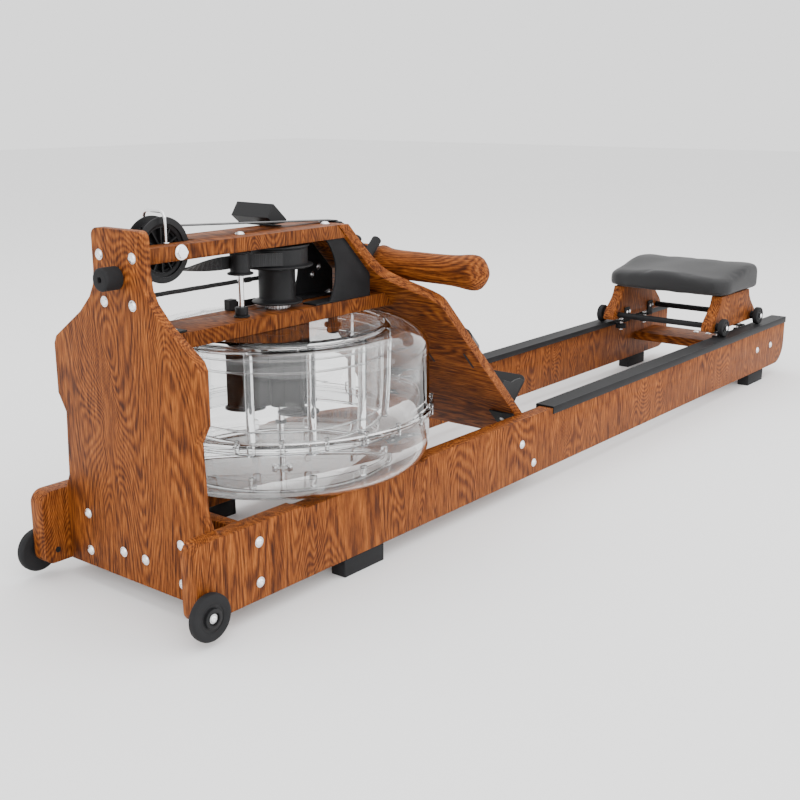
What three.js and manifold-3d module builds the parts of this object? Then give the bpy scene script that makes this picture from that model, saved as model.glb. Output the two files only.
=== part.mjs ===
// Water rowing machine: a wooden frame with two rails, a clear water tank, a strap drive and a rolling seat.
// Millimetres, +Z up. The model is drawn from the rails' front ends (x = 0) with y = 0 on the centre line
// and z = 0 on the floor, then moved so that the origin is at the bottom centre of its box.
// Left is the -Y side, the rower's left hand when sitting on the seat and facing the tank.

import * as THREE from "three";
import { mergeVertices } from "three/addons/utils/BufferGeometryUtils.js";
import Module from "manifold-3d";

const wasm = await Module();
wasm.setup();

// ---- driving dimensions ----

const GAP = 0.3;

const RAIL_LENGTH = 2105;
const RAIL_INNER = 157.4;
const RAIL_OUTER = 187.6;
const RAIL_BOTTOM = 29.3;
const RAIL_TOP = 145.8;
const NOTCH_START = 204;
const NOTCH_END = 514;
const NOTCH_FLOOR = 140.2;

const CAP_START = 907;
const CAP_TOP = 149.6;
const CAP_OUTER = 189.7;
const CAP_INNER = 149.3;
const CAP_SKIN = 1.8;
const CAP_OUTER_FOOT = 134.6;
const CAP_INNER_FOOT = 137;

const PANEL_FRONT = 46;
const PANEL_BACK = 64;
const PANEL_TOP = 551;
const NECK_HALF = 53;

const BEAM_HALF = 50;
const BEAM_BOTTOM = 504.5;
const BEAM_TOP = 526;
const DECK_HALF = 46;
const DECK_BOTTOM = 376.5;
const DECK_TOP = 399.5;

const BOARD_TOP_X = 475;
const BOARD_LENGTH = 600;
const BOARD_THICKNESS = 18;
const BOARD_TILT = THREE.MathUtils.degToRad(45.69);
const BOARD_NECK_HALF = 52;
const BOARD_HALF = RAIL_INNER - GAP;

const TANK_X = 358;
const TANK_RADIUS = 244;
const TANK_WALL = 4;
const TANK_CORNER = 40;
const TANK_FLANGE = 252;
const TANK_STEP_RADIUS = 176;
const TANK_STEP = 5.4;
const TANK_BOTTOM = 140.6;
const TANK_TOP = 376;
const TANK_SEAM = 238.6;
const BAFFLE_RADIUS = 170;
const BAFFLE_COUNT = 12;
const PLUG_X = 489;

const SHAFT_RADIUS = 6;
const REEL_DRUM = 50;
const BUNGEE_DRUM = 30;

const PULLEY_X = 120;
const PULLEY_Z = 516;
const PULLEY_RIM = 47.5;
const PULLEY_GROOVE = 32;
const PULLEY_AXLE = 4;

const GUIDE_X = 262;
const GUIDE_Y = -18;
const GUIDE_RADIUS = 15.5;
const GUIDE_POST = 4.6;

const REAR_ROLLER_X = 491;
const REAR_ROLLER_Z = 520.5;
const REAR_ROLLER_RADIUS = 6.5;
const REAR_ROLLER_HALF = 20;

const STRAP_WIDTH = 20;
const STRAP_THICKNESS = 1.5;
const STRAP_LIFT = GAP + STRAP_THICKNESS / 2;

const HANDLE_X = 600;
const HANDLE_Z = 446;
const HANDLE_HALF = 242;
const HANDLE_FLATNESS = 0.78;

const BUNGEE_RADIUS = 3.5;
const BUNGEE_Y = BUNGEE_DRUM + GAP + BUNGEE_RADIUS;
const BUNGEE_Z = 444.5;

const TRANSPORT_X = 13;
const TRANSPORT_Z = 43.5;
const TRANSPORT_RADIUS = 34.5;

const FOOT_HEIGHT = 29;
const FOOT_LENGTH = 95;
const FRONT_FOOT_X = 301;
const REAR_FOOT_X = 1878;

const CARRIAGE_X = 1848;
const CARRIAGE_INNER = 122;
const CARRIAGE_OUTER = 150;
const CARRIAGE_BOTTOM = 161;
const CARRIAGE_TOP = 243.3;
const AXLE_SPREAD = 108;
const AXLE_ROD = 6;
const WHEEL_RADIUS = 22;
const AXLE_Z = CAP_TOP + GAP + WHEEL_RADIUS;
const WHEEL_INNER = 161;
const WHEEL_OUTER = 175;
const ROLLER_SPREAD = 66;
const ROLLER_RADIUS = 13;
const ROLLER_Y = 135.5;
const ROLLER_BOTTOM = 129;
const ROLLER_TOP = 141;
const PAD_BOTTOM = 247;

const MONITOR_NEAR = 10.6;
const MONITOR_FAR = 94;

const OVERALL_FRONT = TRANSPORT_X - TRANSPORT_RADIUS;
const ORIGIN_X = (OVERALL_FRONT + RAIL_LENGTH) / 2;

// ---- materials ----

function material(color, roughness, metalness) {
  return new THREE.MeshStandardMaterial({ color, roughness, metalness });
}

const wood = material(0x9a5733, 0.45, 0);
const blackSteel = material(0x2c2d2f, 0.4, 0.6);
const blackPlastic = material(0x1f2022, 0.5, 0);
const chrome = material(0xd6d8da, 0.15, 1);
const rubber = material(0x232324, 0.8, 0);
const clearPlastic = material(0xe4e6e8, 0.1, 0);
const webbing = material(0x2a2b2c, 0.8, 0);
const vinyl = material(0x404143, 0.6, 0);

// ---- helpers ----

const SIDES = { left: -1, right: 1 };

const machine = new THREE.Group();
machine.position.x = -ORIGIN_X;

// Local x runs down the footboard from its top edge, local z stands off its rear face.
const boardFrame = new THREE.Group();
boardFrame.position.set(BOARD_TOP_X, 0, BEAM_TOP);
boardFrame.rotation.y = BOARD_TILT;
machine.add(boardFrame);

function add(name, geometry, surface, parent = machine) {
  const mesh = new THREE.Mesh(geometry, surface);
  mesh.name = name;
  parent.add(mesh);
  return mesh;
}

function signedVolume(geometry) {
  const flat = geometry.index ? geometry.toNonIndexed() : geometry;
  const places = flat.getAttribute("position");
  const a = new THREE.Vector3();
  const b = new THREE.Vector3();
  const c = new THREE.Vector3();
  let volume = 0;
  for (let i = 0; i < places.count; i += 3) {
    a.fromBufferAttribute(places, i);
    b.fromBufferAttribute(places, i + 1);
    c.fromBufferAttribute(places, i + 2);
    volume += a.dot(b.cross(c)) / 6;
  }
  return volume;
}

// Positions only, shared vertices merged, flat triangles dropped and faces pointing out.
function weld(geometry) {
  const bare = geometry.clone();
  bare.deleteAttribute("normal");
  bare.deleteAttribute("uv");
  const merged = mergeVertices(bare, 1e-4);
  const source = merged.index.array;
  const kept = [];
  for (let i = 0; i < source.length; i += 3) {
    const [a, b, c] = [source[i], source[i + 1], source[i + 2]];
    if (a !== b && b !== c && c !== a) {
      kept.push(a, b, c);
    }
  }
  merged.setIndex(kept);
  if (signedVolume(merged) < 0) {
    for (let i = 0; i < kept.length; i += 3) {
      [kept[i], kept[i + 1]] = [kept[i + 1], kept[i]];
    }
    merged.setIndex(kept);
  }
  return merged;
}

function toSolid(geometry) {
  const merged = weld(geometry);
  const vertProperties = new Float32Array(merged.getAttribute("position").array);
  const triVerts = new Uint32Array(merged.index.array);
  return new wasm.Manifold(new wasm.Mesh({ numProp: 3, vertProperties, triVerts }));
}

function toGeometry(solid) {
  const mesh = solid.getMesh();
  const geometry = new THREE.BufferGeometry();
  geometry.setAttribute("position", new THREE.BufferAttribute(new Float32Array(mesh.vertProperties), 3));
  geometry.setIndex(Array.from(mesh.triVerts));
  return geometry;
}

function join(...geometries) {
  const solids = geometries.map(toSolid);
  return toGeometry(solids.reduce((whole, piece) => whole.add(piece)));
}

function cut(geometry, ...tools) {
  return toGeometry(tools.map(toSolid).reduce((rest, tool) => rest.subtract(tool), toSolid(geometry)));
}

function box(x0, x1, y0, y1, z0, z1) {
  const geometry = new THREE.BoxGeometry(x1 - x0, y1 - y0, z1 - z0);
  return geometry.translate((x0 + x1) / 2, (y0 + y1) / 2, (z0 + z1) / 2);
}

function outline(points) {
  return new THREE.Shape(points.map(([u, v]) => new THREE.Vector2(u, v)));
}

function extrude(shape, depth, curveSegments = 8) {
  return new THREE.ExtrudeGeometry(shape, { depth, bevelEnabled: false, curveSegments, steps: 1 });
}

// A shape drawn in x and z, from y0 to y1.
function prismXZ(shape, y0, y1, curveSegments) {
  return extrude(shape, y1 - y0, curveSegments).rotateX(Math.PI / 2).translate(0, y1, 0);
}

// A shape drawn in y and z, from x0 to x1.
function prismYZ(shape, x0, x1, curveSegments) {
  const turn = new THREE.Matrix4().makeBasis(
    new THREE.Vector3(0, 1, 0),
    new THREE.Vector3(0, 0, 1),
    new THREE.Vector3(1, 0, 0),
  );
  return extrude(shape, x1 - x0, curveSegments).applyMatrix4(turn).translate(x0, 0, 0);
}

// A shape drawn in x and y, from z0 to z1.
function prismXY(shape, z0, z1, curveSegments) {
  return extrude(shape, z1 - z0, curveSegments).translate(0, 0, z0);
}

function latheY(profile, segments) {
  return weld(new THREE.LatheGeometry(profile.map(([r, h]) => new THREE.Vector2(r, h)), segments));
}

function latheZ(profile, segments) {
  return latheY(profile, segments).rotateX(Math.PI / 2);
}

function latheX(profile, segments) {
  return latheY(profile, segments).rotateZ(-Math.PI / 2);
}

function rodProfile(radius, start, end) {
  return [[0, start], [radius, start], [radius, end], [0, end]];
}

function tubeProfile(bore, radius, start, end) {
  return [[bore, start], [radius, start], [radius, end], [bore, end], [bore, start]];
}

// Points on an arc from one angle to another, in degrees.
function arc(cx, cy, radius, from, to, steps) {
  const points = [];
  for (let i = 0; i <= steps; i += 1) {
    const angle = THREE.MathUtils.degToRad(from + ((to - from) * i) / steps);
    points.push([cx + radius * Math.cos(angle), cy + radius * Math.sin(angle)]);
  }
  return points;
}

// x on the footboard's rear or front face at height z.
function boardRearX(z) {
  return BOARD_TOP_X + (BEAM_TOP - z) / Math.tan(BOARD_TILT);
}

function boardFrontX(z) {
  return boardRearX(z) - BOARD_THICKNESS / Math.sin(BOARD_TILT);
}

// A flat band through stations of {at, across, up}: across is its width direction, up its thickness.
function ribbon(stations, width, thickness) {
  const corners = [[-1, -1], [1, -1], [1, 1], [-1, 1]];
  const places = [];
  for (const { at, across, up } of stations) {
    for (const [u, v] of corners) {
      const corner = at.clone();
      corner.addScaledVector(across, (u * width) / 2);
      corner.addScaledVector(up, (v * thickness) / 2);
      places.push(corner.x, corner.y, corner.z);
    }
  }
  const faces = [];
  for (let i = 0; i + 1 < stations.length; i += 1) {
    for (let side = 0; side < 4; side += 1) {
      const next = (side + 1) % 4;
      const a = i * 4 + side;
      const b = i * 4 + next;
      faces.push(a, b, b + 4, a, b + 4, a + 4);
    }
  }
  const last = (stations.length - 1) * 4;
  faces.push(0, 2, 1, 0, 3, 2, last, last + 1, last + 2, last, last + 2, last + 3);
  const geometry = new THREE.BufferGeometry();
  geometry.setAttribute("position", new THREE.Float32BufferAttribute(places, 3));
  geometry.setIndex(faces);
  return weld(geometry);
}

// ---- rails, caps and crossbars ----

function railOutline() {
  const shape = new THREE.Shape();
  const frontTop = 20;
  const frontBottom = 16;
  const rearBottom = 52;
  const notchEnd = 8;
  shape.moveTo(frontBottom, RAIL_BOTTOM);
  shape.lineTo(RAIL_LENGTH - rearBottom, RAIL_BOTTOM);
  shape.absarc(RAIL_LENGTH - rearBottom, RAIL_BOTTOM + rearBottom, rearBottom, -Math.PI / 2, 0, false);
  shape.lineTo(RAIL_LENGTH, RAIL_TOP);
  shape.lineTo(NOTCH_END, RAIL_TOP);
  shape.quadraticCurveTo(NOTCH_END - notchEnd, NOTCH_FLOOR, NOTCH_END - 2.5 * notchEnd, NOTCH_FLOOR);
  shape.lineTo(NOTCH_START + 2.5 * notchEnd, NOTCH_FLOOR);
  shape.quadraticCurveTo(NOTCH_START + notchEnd, NOTCH_FLOOR, NOTCH_START, RAIL_TOP);
  shape.lineTo(frontTop, RAIL_TOP);
  shape.absarc(frontTop, RAIL_TOP - frontTop, frontTop, Math.PI / 2, Math.PI, false);
  shape.lineTo(0, RAIL_BOTTOM + frontBottom);
  shape.absarc(frontBottom, RAIL_BOTTOM + frontBottom, frontBottom, Math.PI, Math.PI * 1.5, false);
  return shape;
}

function capProfile(side) {
  const under = RAIL_TOP + GAP;
  const points = [
    [CAP_OUTER, CAP_OUTER_FOOT],
    [CAP_OUTER, CAP_TOP],
    [CAP_INNER, CAP_TOP],
    [CAP_INNER, CAP_INNER_FOOT],
    [CAP_INNER + CAP_SKIN, CAP_INNER_FOOT],
    [CAP_INNER + CAP_SKIN, under],
    [CAP_OUTER - CAP_SKIN, under],
    [CAP_OUTER - CAP_SKIN, CAP_OUTER_FOOT],
  ];
  return outline(points.map(([y, z]) => [side * y, z]));
}

function addRails() {
  for (const [name, side] of Object.entries(SIDES)) {
    const faces = [side * RAIL_INNER, side * RAIL_OUTER].sort((a, b) => a - b);
    add(`${name}_rail`, prismXZ(railOutline(), faces[0], faces[1], 10), wood);
    add(`${name}_track_cap`, prismYZ(capProfile(side), CAP_START, RAIL_LENGTH), blackSteel);
  }
}

function addCrossbars() {
  const half = RAIL_INNER - GAP;
  add("front_crossbar", box(107.7, 129.7, -half, half, 38, 134), wood);
  add("rear_crossbar", box(1903, 2027, -half, half, 76, 98), wood);
}

function addFeet() {
  for (const [name, side] of Object.entries(SIDES)) {
    const edges = [side * (RAIL_INNER + 0.6), side * (RAIL_OUTER - 0.6)].sort((a, b) => a - b);
    for (const [place, x] of [["front", FRONT_FOOT_X], ["rear", REAR_FOOT_X]]) {
      const foot = box(x, x + FOOT_LENGTH, edges[0], edges[1], 0, FOOT_HEIGHT);
      add(`${name}_${place}_foot`, foot, rubber);
    }
  }
}

// ---- front panel, beam and deck ----

function panelOutline() {
  const shape = new THREE.Shape();
  const foot = RAIL_INNER - GAP;
  const corner = 12;
  const waist = 143.5;
  const hip = 160;
  const trace = (side) => [
    [foot * side, RAIL_BOTTOM],
    [foot * side, RAIL_TOP + 2],
    [(waist + 5) * side, RAIL_TOP + 22],
    [waist * side, 268],
    [hip * side, 296],
    [hip * side, 372],
    [(hip - 6) * side, 384],
    [90 * side, 428],
    [66 * side, 452],
    [(NECK_HALF + 3) * side, 470],
    [NECK_HALF * side, 490],
    [NECK_HALF * side, PANEL_TOP - corner],
  ];
  const rightSide = trace(1);
  const leftSide = trace(-1).reverse();
  shape.moveTo(rightSide[0][0], rightSide[0][1]);
  for (const [y, z] of rightSide.slice(1)) {
    shape.lineTo(y, z);
  }
  shape.absarc(NECK_HALF - corner, PANEL_TOP - corner, corner, 0, Math.PI / 2, false);
  shape.absarc(corner - NECK_HALF, PANEL_TOP - corner, corner, Math.PI / 2, Math.PI, false);
  for (const [y, z] of leftSide.slice(1)) {
    shape.lineTo(y, z);
  }
  return shape;
}

function addFrontPanel() {
  add("front_panel", prismYZ(panelOutline(), PANEL_FRONT, PANEL_BACK, 6), wood);
  const bumperLength = 30 - GAP;
  const profile = [[0, 0], [15, 0], [16.5, 1.5], [16.5, bumperLength - 4]];
  profile.push(...arc(12.5, bumperLength - 4, 4, 0, 90, 3).slice(1));
  profile.push([0, bumperLength]);
  const bumper = latheX(profile, 28).rotateZ(Math.PI).translate(PANEL_FRONT - GAP, 0, 484.5);
  add("bumper", bumper, rubber);
}

function addBeamAndDeck() {
  const start = PANEL_BACK + GAP;
  const slack = 0.4;
  const beam = prismXZ(outline([
    [start, BEAM_BOTTOM],
    [boardFrontX(BEAM_BOTTOM) - slack, BEAM_BOTTOM],
    [boardFrontX(BEAM_TOP) - slack, BEAM_TOP],
    [start, BEAM_TOP],
  ]), -BEAM_HALF, BEAM_HALF);
  const pulleySlot = box(69, 178, -17.5, 17.5, BEAM_BOTTOM - 1, BEAM_TOP + 1);
  const axleBore = latheY(rodProfile(PULLEY_AXLE + GAP, -BEAM_HALF - 1, BEAM_HALF + 1), 20)
    .translate(PULLEY_X, 0, PULLEY_Z);
  add("top_beam", cut(beam, pulleySlot, axleBore), wood);
  const deck = prismXZ(outline([
    [start, DECK_BOTTOM],
    [boardFrontX(DECK_BOTTOM) - slack, DECK_BOTTOM],
    [boardFrontX(DECK_TOP) - slack, DECK_TOP],
    [start, DECK_TOP],
  ]), -DECK_HALF, DECK_HALF);
  const shaftHole = latheZ(rodProfile(9, DECK_BOTTOM - 1, DECK_TOP + 1), 24).translate(TANK_X, 0, 0);
  add("lower_deck", cut(deck, shaftHole), wood);
}

// Each steel plate stands between the deck and the beam, with a foot on the deck and one under the beam.
function addSidePlates() {
  const bottom = DECK_TOP + GAP;
  const top = BEAM_BOTTOM - GAP;
  const thickness = 3;
  const face = 44;
  const rear = 536;
  const slack = 0.5;
  const rearTurn = BEAM_TOP - (rear - boardFrontX(BEAM_TOP)) * Math.tan(BOARD_TILT);
  const shape = new THREE.Shape();
  shape.moveTo(433, bottom);
  shape.lineTo(rear - slack, bottom);
  shape.lineTo(rear - slack, rearTurn);
  shape.lineTo(boardFrontX(top) - slack, top);
  shape.lineTo(428, top);
  shape.quadraticCurveTo(472, 458, 433, bottom);
  for (const [name, side] of Object.entries(SIDES)) {
    const web = [side * (face - thickness), side * face].sort((a, b) => a - b);
    const flange = [side * 14, side * (face - 0.5)].sort((a, b) => a - b);
    const plate = prismXZ(shape, web[0], web[1], 12);
    const deckFoot = box(402, 520, flange[0], flange[1], bottom, bottom + thickness);
    const beamFoot = box(430, 462, flange[0], flange[1], top - thickness, top);
    add(`${name}_side_plate`, join(plate, deckFoot, beamFoot), blackSteel);
  }
}

// ---- footboard ----

function footboardOutline() {
  const half = (side) => [
    [-24, BOARD_NECK_HALF * side],
    [56, BOARD_NECK_HALF * side],
    [86, 54.5 * side],
    [106, 59.5 * side],
    [117, 67 * side],
    [125, 77 * side],
    [134, 91 * side],
    [142, 105 * side],
    [151, 123 * side],
    [160, 139 * side],
    [168, 149.5 * side],
    [175, 155 * side],
    [184, BOARD_HALF * side],
    [BOARD_LENGTH, BOARD_HALF * side],
  ];
  return outline([...half(-1), ...half(1).reverse()]);
}

function addFootboard() {
  const slab = prismXY(footboardOutline(), -BOARD_THICKNESS, 0);
  // The top end is level with the beam's top, so it is cut by a level block in the board's own frame.
  const levelBlock = box(-80, 80, -80, 80, 0, 80).rotateY(-BOARD_TILT);
  add("footboard", cut(slab, levelBlock), wood, boardFrame);
}

function addFootRests() {
  const plateInner = 52;
  const plateOuter = 128;
  const plateTop = 8;
  const cupInner = 46;
  const cupOuter = 139;
  const cupStart = 452;
  const cupEnd = 519;
  const wall = 4;
  for (const [name, side] of Object.entries(SIDES)) {
    const middle = side * (plateInner + plateOuter) / 2;
    const half = (plateOuter - plateInner) / 2;
    const corner = 18;
    const plate = new THREE.Shape();
    plate.absarc(232 + corner, middle - half + corner, corner, Math.PI, Math.PI * 1.5, false);
    plate.absarc(556 - corner, middle - half + corner, corner, Math.PI * 1.5, Math.PI * 2, false);
    plate.absarc(556 - corner, middle + half - corner, corner, 0, Math.PI / 2, false);
    plate.absarc(232 + corner, middle + half - corner, corner, Math.PI / 2, Math.PI, false);
    add(`${name}_foot_plate`, prismXY(plate, GAP, plateTop, 6), blackPlastic, boardFrame);

    const edges = [side * cupInner, side * cupOuter].sort((a, b) => a - b);
    const base = box(cupStart, cupEnd, edges[0], edges[1], plateTop + GAP, plateTop + GAP + wall);
    const back = box(cupEnd - wall, cupEnd, edges[0], edges[1], plateTop + GAP, 72);
    const cheek = outline([
      [cupStart + 6, plateTop + GAP],
      [cupEnd, plateTop + GAP],
      [cupEnd, 66],
      [cupEnd - 16, 60],
      [cupEnd - 34, 36],
      [cupStart + 6, 22],
    ]);
    const nearCheek = prismXZ(cheek, edges[0], edges[0] + wall);
    const farCheek = prismXZ(cheek, edges[1] - wall, edges[1]);
    add(`${name}_heel_cup`, join(base, back, nearCheek, farCheek), blackPlastic, boardFrame);
  }
}

function addHandleRest() {
  const restX = 101;
  const pegY = 22;
  const pegTop = 52;
  const base = box(restX - 13, restX + 13, -34, 34, GAP, 4);
  const tip = arc(5.5, pegTop - 3, 3, 0, 90, 3);
  const pegProfile = [[0, 1], [8.5, 1], [8.5, pegTop - 3], ...tip.slice(1), [0, pegTop]];
  const pegs = Object.values(SIDES).map((side) => latheZ(pegProfile, 20).translate(restX, side * pegY, 0));
  add("handle_rest", join(base, ...pegs), blackPlastic, boardFrame);
}

function addRearRoller() {
  const pin = 2.6;
  const centre = new THREE.Vector3(REAR_ROLLER_X - BOARD_TOP_X, 0, REAR_ROLLER_Z - BEAM_TOP);
  centre.applyAxisAngle(new THREE.Vector3(0, 1, 0), -BOARD_TILT);
  const base = box(centre.x + 9, 46, -24, 24, GAP, 2.8);
  const ears = Object.values(SIDES).map((side) => {
    const edges = [side * 21, side * 24].sort((a, b) => a - b);
    const ear = outline([
      [4, GAP],
      [46, GAP],
      [30, 14],
      [centre.x + 2, centre.z + 5.4],
      [centre.x - 5, centre.z + 3],
      [centre.x - 6, centre.z - 3],
    ]);
    return prismXZ(ear, edges[0], edges[1]);
  });
  const axle = latheY(rodProfile(pin, -22, 22), 14).translate(centre.x, 0, centre.z);
  add("roller_bracket", join(base, ...ears, axle), blackSteel, boardFrame);
  const roller = latheY(tubeProfile(pin + GAP, REAR_ROLLER_RADIUS, -REAR_ROLLER_HALF, REAR_ROLLER_HALF), 24);
  add("rear_roller", roller.translate(REAR_ROLLER_X, 0, REAR_ROLLER_Z), blackPlastic);
}

// ---- tank ----

// Closed wall profile of the upper half, as radius and height above the seam; the lower half is its mirror.
function tankWall(height, bore) {
  const stepTop = height - TANK_STEP;
  const cornerZ = stepTop - TANK_CORNER;
  const cornerR = TANK_RADIUS - TANK_CORNER;
  const seamGap = 0.2;
  const flangeTop = 4.4;
  const outer = [
    [bore, height],
    [TANK_STEP_RADIUS, height],
    [TANK_STEP_RADIUS + 3, stepTop],
    ...arc(cornerR, cornerZ, TANK_CORNER, 90, 0, 6),
    [TANK_RADIUS, flangeTop],
    [TANK_FLANGE, flangeTop],
    [TANK_FLANGE, seamGap],
  ];
  const inner = [
    [TANK_RADIUS - TANK_WALL, seamGap],
    ...arc(cornerR, cornerZ, TANK_CORNER - TANK_WALL, 0, 90, 5),
    [TANK_STEP_RADIUS, stepTop - TANK_WALL],
    [TANK_STEP_RADIUS - 3, height - TANK_WALL],
    [bore, height - TANK_WALL],
    [bore, height],
  ];
  return [...outer, ...inner];
}

function addTank() {
  const segments = 32;
  const shaftBore = 9;
  const upper = latheZ(tankWall(TANK_TOP - TANK_SEAM, shaftBore), segments).translate(TANK_X, 0, TANK_SEAM);
  const plugHole = latheZ(rodProfile(9, TANK_TOP - 6, TANK_TOP + 1), 20).translate(PLUG_X, 0, 0);
  add("tank_upper_shell", cut(upper, plugHole), clearPlastic);
  const lowerProfile = tankWall(TANK_SEAM - TANK_BOTTOM, 0).map(([r, h]) => [r, -h]);
  const lower = latheZ(lowerProfile.slice(0, -1), segments).translate(TANK_X, 0, TANK_SEAM);
  add("tank_lower_shell", lower, clearPlastic);

  const ring = [];
  const ribHalf = 3;
  const ribHeight = 6;
  for (let i = 0; i < BAFFLE_COUNT; i += 1) {
    const centre = (360 * i) / BAFFLE_COUNT;
    const turn = THREE.MathUtils.degToRad(centre);
    const rib = [[BAFFLE_RADIUS, -ribHalf], [BAFFLE_RADIUS + ribHeight, -ribHalf],
      [BAFFLE_RADIUS + ribHeight, ribHalf], [BAFFLE_RADIUS, ribHalf]];
    for (const [r, t] of rib) {
      ring.push([r * Math.cos(turn) - t * Math.sin(turn), r * Math.sin(turn) + t * Math.cos(turn)]);
    }
    const half = 360 / BAFFLE_COUNT / 2;
    ring.push(...arc(0, 0, BAFFLE_RADIUS, centre + half * 0.5, centre + half * 1.5, 2));
  }
  const ringShape = outline(ring);
  ringShape.holes.push(new THREE.Path().absarc(0, 0, BAFFLE_RADIUS - 3, 0, Math.PI * 2, true));
  const baffle = prismXY(ringShape, 210, TANK_TOP - TANK_STEP - TANK_WALL - 1, 20).translate(TANK_X, 0, 0);
  add("tank_baffle_ring", baffle, clearPlastic);

  const plug = [[0, 334], [9, 334], [11, 337], [11, 345], [15, 346], [15, 352], [8.5, 354],
    [8.5, TANK_TOP - GAP], [0, TANK_TOP - GAP]];
  add("fill_plug", latheZ(plug, 20).translate(PLUG_X, 0, 0), blackPlastic);
}

// ---- drive: shaft, impeller, reel ----

function addImpeller() {
  const shaftTop = BEAM_BOTTOM - 1;
  const shaft = latheZ(rodProfile(SHAFT_RADIUS, TANK_BOTTOM + TANK_WALL + 3, shaftTop), 20);
  add("drive_shaft", shaft.translate(TANK_X, 0, 0), chrome);
  const hubRadius = 15;
  const paddleLength = 84;
  const paddleTop = 366;
  const paddleCount = 3;
  const paddleStart = 129;
  const hub = latheZ([
    [SHAFT_RADIUS + GAP, 236], [26, 236], [26, 241], [hubRadius, 244], [hubRadius, paddleTop],
    [SHAFT_RADIUS + GAP, paddleTop], [SHAFT_RADIUS + GAP, 236],
  ], 24);
  const paddles = [];
  for (let i = 0; i < paddleCount; i += 1) {
    const turn = THREE.MathUtils.degToRad(paddleStart + (360 * i) / paddleCount);
    paddles.push(box(hubRadius - 3, paddleLength, -3, 3, 239, paddleTop).rotateZ(turn));
  }
  add("impeller", join(hub, ...paddles).translate(TANK_X, 0, 0), blackPlastic);
}

function addReel() {
  const bore = SHAFT_RADIUS + GAP;
  const bearing = latheZ([
    [bore + 1, DECK_TOP + GAP], [20, DECK_TOP + GAP], [20, 404], [17, 407.5], [bore + 1, 407.5],
    [bore + 1, DECK_TOP + GAP],
  ], 20);
  add("bearing_ring", bearing.translate(TANK_X, 0, 0), chrome);
  const reel = latheZ([
    [bore, 408], [41, 408], [41, 412.5], [BUNGEE_DRUM, 414.5], [BUNGEE_DRUM, 465],
    [57.5, 467], [58.5, 468.5], [57.5, 470.5], [REEL_DRUM, 471.5], [REEL_DRUM, 497], [53, 498], [53, 501.5],
    [bore, 501.5], [bore, 408],
  ], 26);
  add("strap_reel", reel.translate(TANK_X, 0, 0), blackPlastic);
}

// ---- pulleys, guides, guard ----

function addFrontPulley() {
  const bore = PULLEY_AXLE + GAP;
  const face = 14.5;
  const groove = 11.5;
  const wheel = latheY([
    [bore, -12], [10, -12], [10, -3], [27, -3], [27, -face], [PULLEY_RIM - 1, -face],
    [PULLEY_RIM, 0.5 - face], [PULLEY_RIM, -groove - 1], [PULLEY_RIM - 1, -groove], [PULLEY_GROOVE, -groove],
    [PULLEY_GROOVE, groove], [PULLEY_RIM - 1, groove], [PULLEY_RIM, groove + 1], [PULLEY_RIM, face - 0.5],
    [PULLEY_RIM - 1, face], [27, face], [27, 3], [10, 3], [10, 12], [bore, 12], [bore, -12],
  ], 20);
  add("front_pulley", wheel.translate(PULLEY_X, 0, PULLEY_Z), blackPlastic);

  const pin = latheY(rodProfile(PULLEY_AXLE, -BEAM_HALF - 2, BEAM_HALF + 6), 16);
  const head = new THREE.CylinderGeometry(9.3, 9.3, 6, 6).translate(0, -BEAM_HALF - GAP - 3, 0);
  add("pulley_axle", join(pin, head).translate(PULLEY_X, 0, PULLEY_Z), chrome);

  const legY = 22.5;
  const top = 571;
  const bend = 12;
  const foot = BEAM_TOP + GAP;
  const wire = 2.4;
  const path = new THREE.CurvePath();
  const at = (y, z) => new THREE.Vector3(PULLEY_X - 3, y, z);
  path.add(new THREE.LineCurve3(at(-legY, foot), at(-legY, top - bend)));
  path.add(new THREE.QuadraticBezierCurve3(at(-legY, top - bend), at(-legY, top), at(bend - legY, top)));
  path.add(new THREE.LineCurve3(at(bend - legY, top), at(legY - bend, top)));
  path.add(new THREE.QuadraticBezierCurve3(at(legY - bend, top), at(legY, top), at(legY, top - bend)));
  path.add(new THREE.LineCurve3(at(legY, top - bend), at(legY, foot)));
  const section = new THREE.Shape().absarc(0, 0, wire, 0, Math.PI * 2, false);
  const guard = new THREE.ExtrudeGeometry(section, { steps: 18, curveSegments: 4, extrudePath: path });
  add("pulley_guard", weld(guard), chrome);
}

function addGuideRoller() {
  const post = latheZ([
    [0, DECK_TOP + GAP], [13, DECK_TOP + GAP], [13, 402.5], [10, 403.5], [10, 411], [GUIDE_POST, 411.5],
    [GUIDE_POST, BEAM_BOTTOM - GAP], [0, BEAM_BOTTOM - GAP],
  ], 20);
  add("guide_post", post.translate(GUIDE_X, GUIDE_Y, 0), chrome);
  const bore = GUIDE_POST + GAP;
  const roller = latheZ([
    [bore, 465.5], [19.4, 465.5], [20.4, 467], [19.4, 469], [GUIDE_RADIUS, 470], [GUIDE_RADIUS, 497.5],
    [18, 498.5], [18, 501], [bore, 501], [bore, 465.5],
  ], 20);
  add("guide_roller", roller.translate(GUIDE_X, GUIDE_Y, 0), blackPlastic);
}

// ---- strap and bungee ----

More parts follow.
